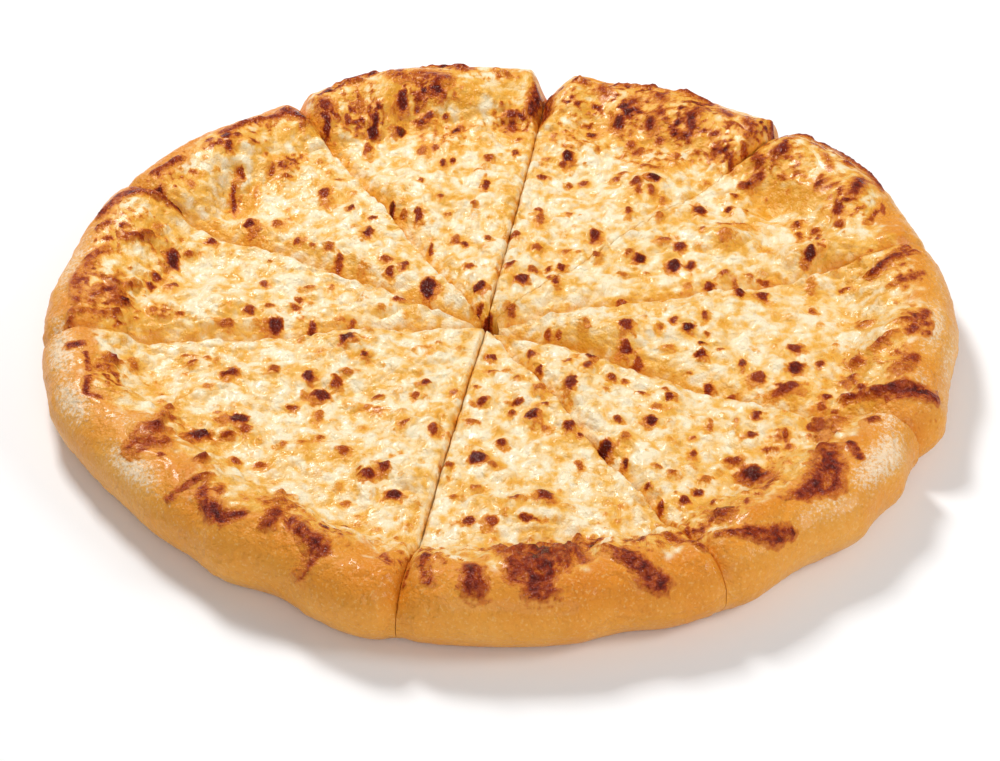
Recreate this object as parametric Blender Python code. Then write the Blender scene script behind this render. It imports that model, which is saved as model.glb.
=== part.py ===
"""A cheese pan pizza, cut into nine slices that still lie together.

Every slice is two solids: a thick baked crust with a round rim, and the
melted cheese that covers it and ends on the rim in an uneven edge. Both
start as a profile that is spun through the angle of the slice. Their points
are then moved by a few named functions, which give the rim its outline, let
each slice fall away towards its cuts, and raise the bubbles in the dough.
Metres, +Z up, base at z = 0, front of the pizza towards -Y.
"""

import math

import bmesh
import bpy
import numpy as np

# Driving dimensions of the round.
RIM_RADIUS = 0.178
RIM_HEIGHT = 0.0285
RIM_ROUND = 0.0145
FLOOR_HEIGHT = 0.0125
SLOPE_START = 0.134
BASE_RADIUS = 0.165
CREST_RADIUS = RIM_RADIUS - RIM_ROUND
# A distance along the top of the crust, from the middle out and over the rim,
# places each row of points. These are the rows at the widest point and below it.
WIDEST_ROW = CREST_RADIUS + RIM_ROUND * math.radians(90.0)
LOWEST_ROW = CREST_RADIUS + RIM_ROUND * math.radians(148.0)

# The cheese: thick on the floor, thin where it ends on the rim.
CHEESE_THICK = 0.0045
CHEESE_EDGE_THICK = 0.0016
CHEESE_ROW = 0.157
CHEESE_FARTHEST = 0.177
EVEN_ROW = 0.100

# Where the cuts meet, the width of a cut, and the blunt tip of a slice.
CUT_CENTRE = (-0.0054, -0.0051)
KERF = 0.0008
TIP_RADIUS = 0.0045
SKIN_GAP = 0.0004

# Mesh density: columns for each degree of a slice, and how they crowd its cuts.
DEGREES_PER_COLUMN = 3.0
COLUMN_CROWDING = 0.5

# Each cut by its direction in degrees. On the floor and again on the rim, it
# has the width that falls away on its clockwise side, the width on its other
# side, and the depth. The last value is how far it pulls the outline in.
CUTS = (
    (260.2, (0.002, 0.002, 0.003), (0.007, 0.007, 0.006), 0.0015),
    (298.3, (0.0025, 0.006, 0.005), (0.004, 0.007, 0.004), 0.001),
    (334.8, (0.007, 0.014, 0.008), (0.003, 0.017, 0.015), 0.004),
    (13.6, (0.005, 0.012, 0.006), (0.004, 0.006, 0.004), 0.001),
    (45.8, (0.001, 0.001, 0.0003), (0.014, 0.006, 0.008), 0.0045),
    (81.6, (0.002, 0.0025, 0.003), (0.014, 0.009, 0.012), 0.009),
    (119.2, (0.010, 0.0025, 0.007), (0.007, 0.008, 0.008), 0.003),
    (151.8, (0.014, 0.006, 0.008), (0.008, 0.006, 0.006), 0.001),
    (186.9, (0.014, 0.0055, 0.008), (0.008, 0.005, 0.005), 0.0015),
)
RIM_CUT_START = 0.138
RIM_CUT_FULL = 0.158

# Swellings of the outline: direction and half width in degrees, then outwards.
OUTLINE_SWELLS = (
    (32.0, 17.0, 0.0036),
    (72.5, 12.0, -0.0020),
    (103.5, 9.0, 0.0015),
    (129.5, 10.0, -0.0025),
    (166.0, 14.0, -0.0018),
    (201.0, 6.0, 0.0010),
    (220.5, 22.0, -0.0042),
    (231.5, 8.0, -0.0020),
    (243.5, 9.0, -0.0054),
    (256.0, 5.0, 0.0022),
    (286.5, 6.0, -0.0025),
    (310.5, 9.0, -0.0036),
    (324.0, 6.0, -0.0020),
    (332.5, 6.0, -0.0045),
    (348.0, 9.0, -0.0030),
)

# Where the crest of the rim stands higher or lower, in the same form.
RIM_LIFTS = (
    (72.5, 13.0, -0.0020),
    (103.5, 10.0, 0.0010),
    (123.5, 10.0, -0.0025),
)

# Lobes of the cheese edge: direction and half width in degrees, then outwards.
CHEESE_LOBES = (
    (192.0, 7.0, 0.008),
    (202.0, 6.0, 0.011),
    (215.0, 7.0, 0.010),
    (227.5, 5.0, 0.012),
    (236.0, 6.0, 0.013),
    (248.0, 7.0, 0.015),
    (262.5, 7.0, 0.009),
    (276.0, 9.0, 0.012),
    (289.5, 6.0, 0.015),
    (307.5, 7.0, 0.014),
    (316.5, 7.0, 0.010),
    (326.0, 6.0, 0.008),
    (343.0, 6.0, 0.014),
    (354.0, 7.0, 0.007),
    (7.0, 10.0, 0.009),
    (26.0, 9.0, 0.012),
    (40.0, 9.0, 0.008),
    (56.5, 12.0, 0.009),
    (72.5, 9.0, 0.004),
    (99.5, 14.0, 0.008),
    (121.0, 9.0, 0.008),
    (136.5, 9.0, 0.008),
    (158.0, 12.0, 0.010),
    (176.0, 10.0, 0.007),
)

# Bubbles and dents in the dough: x, y, half widths along x and y, height.
MOUNDS = (
    (0.128, 0.032, 0.024, 0.020, 0.0045),
    (0.092, 0.050, 0.018, 0.014, 0.0030),
    (0.060, 0.087, 0.020, 0.016, 0.0020),
    (0.040, 0.140, 0.012, 0.022, -0.0035),
    (-0.040, 0.144, 0.012, 0.022, -0.0030),
    (-0.008, 0.140, 0.014, 0.020, 0.0020),
    (0.112, 0.079, 0.014, 0.020, -0.0035),
    (0.152, 0.056, 0.014, 0.018, -0.0030),
    (-0.112, 0.073, 0.012, 0.018, -0.0030),
    (-0.115, 0.003, 0.024, 0.018, 0.0020),
    (-0.090, -0.046, 0.040, 0.030, 0.0015),
    (-0.060, -0.095, 0.035, 0.030, 0.0012),
    (-0.105, -0.103, 0.022, 0.018, 0.0020),
    (-0.075, -0.124, 0.014, 0.018, 0.0020),
    (0.012, -0.122, 0.026, 0.020, 0.0020),
    (0.030, -0.066, 0.026, 0.030, 0.0012),
    (0.090, -0.076, 0.030, 0.022, 0.0012),
    (0.105, -0.101, 0.020, 0.016, 0.0025),
    (0.040, -0.015, 0.034, 0.016, 0.0035),
    (-0.050, 0.075, 0.030, 0.036, 0.0015),
)

# The long swell of the whole top, as sine waves: direction, length, height.
SWELLS = (
    (20.0, 0.071, 0.0005),
    (75.0, 0.058, 0.0005),
    (130.0, 0.063, 0.0005),
    (165.0, 0.043, 0.0004),
)


def smooth(t):
    """Ease from 0 to 1, level at both ends."""
    t = np.clip(t, 0.0, 1.0)
    return t * t * (3.0 - 2.0 * t)


def turn_between(degrees, centre):
    """The signed angle from a direction to another, between -180 and 180 degrees."""
    return (degrees - centre + 180.0) % 360.0 - 180.0


def bell(t):
    """A rounded hump: 1 in the middle, 0 from t = 1 on."""
    return (1.0 - np.minimum(t * t, 1.0)) ** 2


def sum_of_swells(degrees, table):
    """Add up the humps of a table of direction, half width and height."""
    total = np.zeros_like(degrees)
    for centre, half_width, height in table:
        total += height * bell(turn_between(degrees, centre) / half_width)
    return total


def reach(degrees):
    """The distance from the meeting point of the cuts to the outline of the rim."""
    angle = np.radians(degrees)
    along = CUT_CENTRE[0] * np.cos(angle) + CUT_CENTRE[1] * np.sin(angle)
    offset = CUT_CENTRE[0] ** 2 + CUT_CENTRE[1] ** 2
    round_reach = np.sqrt(along**2 + RIM_RADIUS**2 - offset) - along
    pinch = np.zeros_like(degrees)
    for direction, _, (near, far, _), pull in CUTS:
        side = turn_between(degrees, direction)
        width = np.degrees(np.where(side < 0.0, near, far) / RIM_RADIUS)
        pinch += pull * bell(side / width)
    return round_reach + sum_of_swells(degrees, OUTLINE_SWELLS) - pinch


def cheese_edge(degrees):
    """The row at which the cheese ends."""
    edge = CHEESE_ROW + sum_of_swells(degrees, CHEESE_LOBES)
    return np.minimum(edge, CHEESE_FARTHEST)


def follow_edge(row, degrees):
    """Move the rows near the rim so that one of them follows the edge of the cheese."""
    edge = cheese_edge(degrees)
    inside = EVEN_ROW + (row - EVEN_ROW) * (edge - EVEN_ROW) / (CHEESE_ROW - EVEN_ROW)
    outside = edge + (row - CHEESE_ROW) * (WIDEST_ROW - edge) / (WIDEST_ROW - CHEESE_ROW)
    moved = np.where(row > CHEESE_ROW, outside, inside)
    return np.where((row > EVEN_ROW) & (row < WIDEST_ROW), moved, row)


def crust_section(row):
    """Ring radius, height and outward normal of the plain crust: floor, slope, crest and side."""
    span = CREST_RADIUS - SLOPE_START
    rise = RIM_HEIGHT - FLOOR_HEIGHT
    climb = np.clip((row - SLOPE_START) / span, 0.0, 1.0)
    turn = np.maximum(row - CREST_RADIUS, 0.0) / RIM_ROUND
    radius = np.minimum(row, CREST_RADIUS) + RIM_ROUND * np.sin(turn)
    height = FLOOR_HEIGHT + rise * smooth(climb) - 0.5 * RIM_HEIGHT * (1.0 - np.cos(turn))
    lean = turn - np.arctan(6.0 * climb * (1.0 - climb) * rise / span)
    return radius, height, np.sin(lean), np.cos(lean)


def cheese_thickness(row):
    """Thick on the floor and thin at the edge."""
    thinning = smooth((row - SLOPE_START) / (CREST_RADIUS - SLOPE_START))
    return CHEESE_THICK + (CHEESE_EDGE_THICK - CHEESE_THICK) * thinning


def fall_at_cuts(row, rho, degrees):
    """How far the top falls away near each cut, deeper again where a cut parts the rim."""
    on_rim = smooth((row - RIM_CUT_START) / (RIM_CUT_FULL - RIM_CUT_START))
    fall = np.zeros_like(rho)
    for direction, floor, rim, _ in CUTS:
        side = turn_between(degrees, direction)
        near, far, depth = (f + (r - f) * on_rim for f, r in zip(floor, rim))
        width = np.where(side < 0.0, near, far)
        away = rho * np.abs(np.sin(np.radians(side)))
        beside = (np.abs(side) < 90.0) & (away < width)
        fall = np.maximum(fall, np.where(beside, depth * (1.0 - away / width) ** 2, 0.0))
    return fall


def broad_relief(x, y):
    """Bubbles, dents and the long swell of the top."""
    relief = np.zeros_like(x)
    for cx, cy, wide, deep, height in MOUNDS:
        relief += height * bell(np.hypot((x - cx) / wide, (y - cy) / deep))
    for direction, length, height in SWELLS:
        along = x * math.cos(math.radians(direction)) + y * math.sin(math.radians(direction))
        relief += height * np.sin(2.0 * math.pi * along / length)
    return relief


def crust_shape(row, level):
    """A slice of crust in section: level -1 is its flat base, level 1 its top."""
    radius, height, _, _ = crust_section(row)
    return np.where(level > 0.0, radius, row), np.where(level > 0.0, height, 0.0)


def cheese_shape(row, level):
    """A slice of cheese in section: level 0 is its underside, level 1 its top."""
    radius, height, outward, upward = crust_section(row)
    proud = SKIN_GAP + level * cheese_thickness(row)
    return radius + outward * proud, height + upward * proud


def place_points(template, across, level, start, sweep, shape):
    """Take the points of a spun template to their places in the pizza."""
    share = across - COLUMN_CROWDING * np.sin(2.0 * math.pi * across) / (2.0 * math.pi)
    degrees = start + sweep * share
    row = np.where(level < 0.0, template, follow_edge(template, degrees))
    radius, height = shape(row, level)
    rho = radius * reach(degrees) / RIM_RADIUS
    # Half the kerf is taken from each side, so the two cut faces are flat.
    half_kerf = np.degrees(np.arcsin(0.5 * KERF / rho))
    degrees = start + half_kerf + (sweep - 2.0 * half_kerf) * share
    x = CUT_CENTRE[0] + rho * np.cos(np.radians(degrees))
    y = CUT_CENTRE[1] + rho * np.sin(np.radians(degrees))
    _, plain, _, _ = crust_section(np.minimum(row, CREST_RADIUS))
    fall = fall_at_cuts(row, rho, degrees) / (plain + cheese_thickness(row))
    lift = sum_of_swells(degrees, RIM_LIFTS) * smooth((row - SLOPE_START) / (CREST_RADIUS - SLOPE_START))
    stretch = (1.0 - fall) * (1.0 + (broad_relief(x, y) + lift) / plain)
    return np.stack([x, y, height * stretch], axis=1)


def shared_rows():
    """The rows that the crust and the cheese share, closer together near the tip and on the rim."""
    inner = np.linspace(TIP_RADIUS**0.8, EVEN_ROW**0.8, 7) ** 1.25
    outer = np.linspace(EVEN_ROW, CHEESE_ROW, 8)
    return list(inner) + list(outer[1:])


def crust_profile():
    """The closed outline of a crust slice: row and level, along the base and back over the top."""
    rim = list(np.linspace(LOWEST_ROW, WIDEST_ROW, 3)) + list(np.linspace(WIDEST_ROW, CHEESE_ROW, 5)[1:-1])
    base = [(TIP_RADIUS, -1.0), (BASE_RADIUS, -1.0)]
    return base + [(row, 1.0) for row in rim + shared_rows()[::-1]]


def cheese_profile():
    """The closed outline of a cheese slice: row and level, along the underside and back."""
    rows = shared_rows()
    return [(row, 0.0) for row in rows] + [(row, 1.0) for row in reversed(rows)]


def spin_slice(profile, sweep):
    """Spin a closed profile through the angle of a slice, as a plain template."""
    mesh = bmesh.new()
    verts = [mesh.verts.new((row, 0.0, level)) for row, level in profile]
    face = mesh.faces.new(verts)
    bmesh.ops.spin(
        mesh,
        geom=[face, *face.edges, *face.verts],
        cent=(0.0, 0.0, 0.0),
        axis=(0.0, 0.0, 1.0),
        angle=math.radians(sweep),
        steps=round(sweep / DEGREES_PER_COLUMN),
        use_duplicate=False,
    )
    return mesh


def add_slice(name, profile, shape, start, sweep, material):
    """Spin the template of one slice, take its points to their places and make it an object."""
    mesh = spin_slice(profile, sweep)
    points = np.array([tuple(vert.co) for vert in mesh.verts])
    template = np.hypot(points[:, 0], points[:, 1])
    across = np.clip(np.degrees(np.arctan2(points[:, 1], points[:, 0])) / sweep, 0.0, 1.0)
    places = place_points(template, across, points[:, 2], start, sweep, shape)
    for vert, place in zip(mesh.verts, places):
        vert.co = place
    mesh.normal_update()
    bmesh.ops.triangulate(mesh, faces=mesh.faces[:], quad_method="SHORT_EDGE", ngon_method="EAR_CLIP")
    bmesh.ops.recalc_face_normals(mesh, faces=mesh.faces[:])
    data = bpy.data.meshes.new(name)
    mesh.to_mesh(data)
    mesh.free()
    data.shade_smooth()
    data.set_sharp_from_angle(angle=math.radians(40.0))
    data.materials.append(material)
    bpy.context.collection.objects.link(bpy.data.objects.new(name, data))


def make_material(name, colour, roughness):
    """A plain Principled material."""
    material = bpy.data.materials.new(name)
    material.use_nodes = True
    shader = material.node_tree.nodes["Principled BSDF"]
    shader.inputs["Base Color"].default_value = (*colour, 1.0)
    shader.inputs["Roughness"].default_value = roughness
    shader.inputs["Metallic"].default_value = 0.0
    return material


def clear_scene():
    """Remove the objects that a new scene holds."""
    for old in list(bpy.data.objects):
        bpy.data.objects.remove(old)


def main():
    """Build the crust and the cheese of all the slices."""
    clear_scene()
    baked = make_material("baked_crust", (0.62, 0.30, 0.07), 0.55)
    melted = make_material("melted_cheese", (0.86, 0.66, 0.33), 0.35)
    directions = [cut[0] for cut in CUTS]
    for number, start in enumerate(directions, 1):
        sweep = (directions[number % len(directions)] - start) % 360.0
        add_slice(f"crust_{number}", crust_profile(), crust_shape, start, sweep, baked)
        add_slice(f"cheese_{number}", cheese_profile(), cheese_shape, start, sweep, melted)


main()
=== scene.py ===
# %% [markdown]
# # A baked cheese pan pizza, cut and still lying in the round
#
# The plain solids of the pizza are loaded first. They are the fixed frame: nine slices, each a
# thick crust with its sheet of melted cheese. Every slice is modelled again here at the same
# place and size, with the curds, blisters and baked colours that the plain solids can't hold.

import itertools
import math

import bpy
import numpy as np
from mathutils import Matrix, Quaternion, Vector


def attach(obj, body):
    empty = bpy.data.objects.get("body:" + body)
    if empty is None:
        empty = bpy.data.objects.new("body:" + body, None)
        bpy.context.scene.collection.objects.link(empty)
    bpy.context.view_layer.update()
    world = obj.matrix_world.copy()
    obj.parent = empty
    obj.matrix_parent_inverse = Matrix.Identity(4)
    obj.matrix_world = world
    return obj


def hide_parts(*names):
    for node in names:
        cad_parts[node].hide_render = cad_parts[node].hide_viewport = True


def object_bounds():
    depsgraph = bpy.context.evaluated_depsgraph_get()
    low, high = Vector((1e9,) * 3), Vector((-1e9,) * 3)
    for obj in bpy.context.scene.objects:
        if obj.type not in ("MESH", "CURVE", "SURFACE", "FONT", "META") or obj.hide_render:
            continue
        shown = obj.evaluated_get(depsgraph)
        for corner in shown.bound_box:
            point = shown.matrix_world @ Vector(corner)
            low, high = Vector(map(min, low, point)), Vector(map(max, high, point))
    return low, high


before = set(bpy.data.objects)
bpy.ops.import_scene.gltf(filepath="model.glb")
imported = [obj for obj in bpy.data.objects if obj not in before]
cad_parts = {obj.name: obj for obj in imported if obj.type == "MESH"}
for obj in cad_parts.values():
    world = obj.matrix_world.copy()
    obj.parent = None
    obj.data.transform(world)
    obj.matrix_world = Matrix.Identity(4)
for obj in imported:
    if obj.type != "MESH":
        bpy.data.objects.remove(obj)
cad_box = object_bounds()
print("plain solids:", len(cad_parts))
print("their box:", [tuple(round(v, 4) for v in corner) for corner in cad_box])

# %% [markdown]
# ## The plain form of the round
#
# A pan pizza is a flat floor of dough that sweeps up into a round rim. A baker thinks along the
# top of the crust, from the middle out and over the rim, so each row of points has such a
# distance, and each column has a direction. The sizes are those of the plain solids.

# %% The sizes of the round
RIM_RADIUS = 0.178
RIM_HEIGHT = 0.0285
RIM_ROUND = 0.0145
FLOOR_HEIGHT = 0.0125
SLOPE_START = 0.134
BASE_RADIUS = 0.165
CREST_RADIUS = RIM_RADIUS - RIM_ROUND
WIDEST_ROW = CREST_RADIUS + RIM_ROUND * math.radians(90.0)
LOWEST_ROW = CREST_RADIUS + RIM_ROUND * math.radians(148.0)
CHEESE_THICK = 0.0045
CHEESE_EDGE_THICK = 0.0016
CHEESE_ROW = 0.157
CHEESE_FARTHEST = 0.177
EVEN_ROW = 0.100
CUT_CENTRE = (-0.0054, -0.0051)
KERF = 0.0003
TIP_RADIUS = 0.0045
SKIN_GAP = 0.0004
COLUMN_CROWDING = 0.5
RIM_CUT_START = 0.138
RIM_CUT_FULL = 0.158
MM = 0.001
print("rim", 2 * RIM_RADIUS, "m across and", RIM_HEIGHT, "m high, rows to", round(LOWEST_ROW, 4))

# %% [markdown]
# ## Cuts, lobes and bubbles
#
# The wheel parted the round in nine places, and the hot slices sank towards each cut by
# different amounts. The rim swells and pulls in as the dough rose, and the cheese ran out on
# the rim in lobes. Each of these is a row in a small table, given by its direction in degrees.

# %% The cuts: direction, then floor and rim (clockwise width, other width, depth), then pull
CUTS = (
    (260.2, (0.002, 0.002, 0.003), (0.007, 0.007, 0.006), 0.0015),
    (298.3, (0.0025, 0.006, 0.005), (0.004, 0.007, 0.004), 0.001),
    (334.8, (0.007, 0.014, 0.008), (0.003, 0.017, 0.015), 0.004),
    (13.6, (0.005, 0.012, 0.006), (0.004, 0.006, 0.004), 0.001),
    (45.8, (0.001, 0.001, 0.0003), (0.014, 0.006, 0.008), 0.0045),
    (81.6, (0.002, 0.0025, 0.003), (0.014, 0.009, 0.012), 0.009),
    (119.2, (0.010, 0.0025, 0.007), (0.007, 0.008, 0.008), 0.003),
    (151.8, (0.014, 0.006, 0.008), (0.008, 0.006, 0.006), 0.001),
    (186.9, (0.014, 0.0055, 0.008), (0.008, 0.005, 0.005), 0.0015),
)
print("cuts:", len(CUTS))

# %% The outline, the crest and the edge of the cheese: direction, half width, amount
OUTLINE_SWELLS = (
    (32.0, 17.0, 0.0036), (72.5, 12.0, -0.0020), (103.5, 9.0, 0.0015), (129.5, 10.0, -0.0025),
    (166.0, 14.0, -0.0018), (201.0, 6.0, 0.0010), (220.5, 22.0, -0.0042), (231.5, 8.0, -0.0020),
    (243.5, 9.0, -0.0054), (256.0, 5.0, 0.0022), (286.5, 6.0, -0.0025), (310.5, 9.0, -0.0036),
    (324.0, 6.0, -0.0020), (332.5, 6.0, -0.0045), (348.0, 9.0, -0.0030),
)
RIM_LIFTS = ((72.5, 13.0, -0.0020), (103.5, 10.0, 0.0010), (123.5, 10.0, -0.0025))
CHEESE_LOBES = (
    (192.0, 7.0, 0.008), (202.0, 6.0, 0.011), (215.0, 7.0, 0.010), (227.5, 5.0, 0.012),
    (236.0, 6.0, 0.013), (248.0, 7.0, 0.015), (262.5, 7.0, 0.009), (276.0, 9.0, 0.012),
    (289.5, 6.0, 0.015), (307.5, 7.0, 0.014), (316.5, 7.0, 0.010), (326.0, 6.0, 0.008),
    (343.0, 6.0, 0.014), (354.0, 7.0, 0.007), (7.0, 10.0, 0.009), (26.0, 9.0, 0.012),
    (40.0, 9.0, 0.008), (56.5, 12.0, 0.009), (72.5, 9.0, 0.004), (99.5, 14.0, 0.008),
    (121.0, 9.0, 0.008), (136.5, 9.0, 0.008), (158.0, 12.0, 0.010), (176.0, 10.0, 0.007),
)

# %% The large bubbles and dents in the dough: x, y, half widths, height
MOUNDS = (
    (0.128, 0.032, 0.024, 0.020, 0.0045), (0.092, 0.050, 0.018, 0.014, 0.0030),
    (0.060, 0.087, 0.020, 0.016, 0.0020), (0.040, 0.140, 0.012, 0.022, -0.0035),
    (-0.040, 0.144, 0.012, 0.022, -0.0030), (-0.008, 0.140, 0.014, 0.020, 0.0020),
    (0.112, 0.079, 0.014, 0.020, -0.0035), (0.152, 0.056, 0.014, 0.018, -0.0030),
    (-0.112, 0.073, 0.012, 0.018, -0.0030), (-0.115, 0.003, 0.024, 0.018, 0.0020),
    (-0.090, -0.046, 0.040, 0.030, 0.0015), (-0.060, -0.095, 0.035, 0.030, 0.0012),
    (-0.105, -0.103, 0.022, 0.018, 0.0020), (-0.075, -0.124, 0.014, 0.018, 0.0020),
    (0.012, -0.122, 0.026, 0.020, 0.0020), (0.030, -0.066, 0.026, 0.030, 0.0012),
    (0.090, -0.076, 0.030, 0.022, 0.0012), (0.105, -0.101, 0.020, 0.016, 0.0025),
    (0.040, -0.015, 0.034, 0.016, 0.0035), (-0.050, 0.075, 0.030, 0.036, 0.0015),
)
SWELLS = ((20.0, 0.071, 0.0005), (75.0, 0.058, 0.0005), (130.0, 0.063, 0.0005), (165.0, 0.043, 0.0004))
print("bubbles and dents:", len(MOUNDS))


# %% The named functions that place every point
def smooth(t):
    """Ease from 0 to 1, level at both ends."""
    t = np.clip(t, 0.0, 1.0)
    return t * t * (3.0 - 2.0 * t)


def bell(t):
    """A rounded hump: 1 in the middle, 0 from t = 1 on."""
    return (1.0 - np.minimum(t * t, 1.0)) ** 2


def turn_between(degrees, centre):
    """The signed angle from a direction to another, between -180 and 180 degrees."""
    return (degrees - centre + 180.0) % 360.0 - 180.0


def sum_of_swells(degrees, table):
    """Add up the humps of a table of direction, half width and height."""
    total = np.zeros_like(degrees)
    for centre, half_width, height in table:
        total += height * bell(turn_between(degrees, centre) / half_width)
    return total


def reach(degrees):
    """The distance from the meeting point of the cuts to the outline of the rim."""
    angle = np.radians(degrees)
    along = CUT_CENTRE[0] * np.cos(angle) + CUT_CENTRE[1] * np.sin(angle)
    offset = CUT_CENTRE[0] ** 2 + CUT_CENTRE[1] ** 2
    round_reach = np.sqrt(along**2 + RIM_RADIUS**2 - offset) - along
    pinch = np.zeros_like(degrees)
    for direction, _, (near, far, _), pull in CUTS:
        side = turn_between(degrees, direction)
        width = np.degrees(np.where(side < 0.0, near, far) / RIM_RADIUS)
        pinch += pull * bell(side / width)
    return round_reach + sum_of_swells(degrees, OUTLINE_SWELLS) - pinch


def cheese_edge(degrees):
    """The row at which the cheese ends."""
    edge = CHEESE_ROW + sum_of_swells(degrees, CHEESE_LOBES)
    return np.minimum(edge, CHEESE_FARTHEST)


def follow_edge(row, degrees):
    """Move the rows near the rim so that one of them follows the edge of the cheese."""
    edge = cheese_edge(degrees)
    inside = EVEN_ROW + (row - EVEN_ROW) * (edge - EVEN_ROW) / (CHEESE_ROW - EVEN_ROW)
    outside = edge + (row - CHEESE_ROW) * (WIDEST_ROW - edge) / (WIDEST_ROW - CHEESE_ROW)
    moved = np.where(row > CHEESE_ROW, outside, inside)
    return np.where((row > EVEN_ROW) & (row < WIDEST_ROW), moved, row)


def crust_section(row):
    """Ring radius, height and outward normal of the plain crust: floor, slope, crest and side."""
    span = CREST_RADIUS - SLOPE_START
    rise = RIM_HEIGHT - FLOOR_HEIGHT
    climb = np.clip((row - SLOPE_START) / span, 0.0, 1.0)
    turn = np.maximum(row - CREST_RADIUS, 0.0) / RIM_ROUND
    radius = np.minimum(row, CREST_RADIUS) + RIM_ROUND * np.sin(turn)
    height = FLOOR_HEIGHT + rise * smooth(climb) - 0.5 * RIM_HEIGHT * (1.0 - np.cos(turn))
    lean = turn - np.arctan(6.0 * climb * (1.0 - climb) * rise / span)
    return radius, height, np.sin(lean), np.cos(lean)


def cheese_thickness(row):
    """Thick on the floor and thin at the edge."""
    thinning = smooth((row - SLOPE_START) / (CREST_RADIUS - SLOPE_START))
    return CHEESE_THICK + (CHEESE_EDGE_THICK - CHEESE_THICK) * thinning


# %% How the slices sink at their cuts, and the broad bubbles
def fall_at_cuts(row, rho, degrees):
    """How far the top falls away near each cut, deeper again where a cut parts the rim."""
    on_rim = smooth((row - RIM_CUT_START) / (RIM_CUT_FULL - RIM_CUT_START))
    fall = np.zeros_like(rho)
    for direction, floor, rim, _ in CUTS:
        side = turn_between(degrees, direction)
        near, far, depth = (f + (r - f) * on_rim for f, r in zip(floor, rim))
        width = np.where(side < 0.0, near, far)
        away = rho * np.abs(np.sin(np.radians(side)))
        beside = (np.abs(side) < 90.0) & (away < width)
        fall = np.maximum(fall, np.where(beside, depth * (1.0 - away / width) ** 2, 0.0))
    return fall


def broad_relief(x, y):
    """Bubbles, dents and the long swell of the top."""
    relief = np.zeros_like(x)
    for cx, cy, wide, deep, height in MOUNDS:
        relief += height * bell(np.hypot((x - cx) / wide, (y - cy) / deep))
    for direction, length, height in SWELLS:
        along = x * math.cos(math.radians(direction)) + y * math.sin(math.radians(direction))
        relief += height * np.sin(2.0 * math.pi * along / length)
    return relief


print("reach at the front:", round(float(reach(np.array([270.0]))[0]), 4))

# %% [markdown]
# ## Lumps and curds
#
# Melted cheese isn't smooth: it sets in soft lumps of every size from a few millimetres down.
# Smooth random lumps from a small lattice of slopes give that, and the same seed gives the same
# pizza each time. A point is asked for by its place, so neighbours agree where slices meet.

# %% Smooth random lumps
slopes = np.random.default_rng(7).normal(size=(32, 32, 32, 3))
slopes /= np.linalg.norm(slopes, axis=3, keepdims=True)


def lumps(points, size, seed):
    """Random lumps about one size across, mostly between -1 and 1."""
    at = points / size + seed * np.array([7.31, 3.17, 5.53])
    cell = np.floor(at).astype(int)
    part = at - cell
    ease = part**3 * (part * (part * 6.0 - 15.0) + 10.0)
    total = np.zeros(len(points))
    for corner in itertools.product((0, 1), repeat=3):
        index = (cell + corner) & 31
        slope = slopes[index[:, 0], index[:, 1], index[:, 2]]
        weight = np.prod(np.where(corner, ease, 1.0 - ease), axis=1)
        total += weight * np.sum(slope * (part - corner), axis=1)
    return 1.7 * total


print("lump sample:", np.round(lumps(np.array([[0.01, 0.02, 0.0]]), 0.006, 1), 3))
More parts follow.
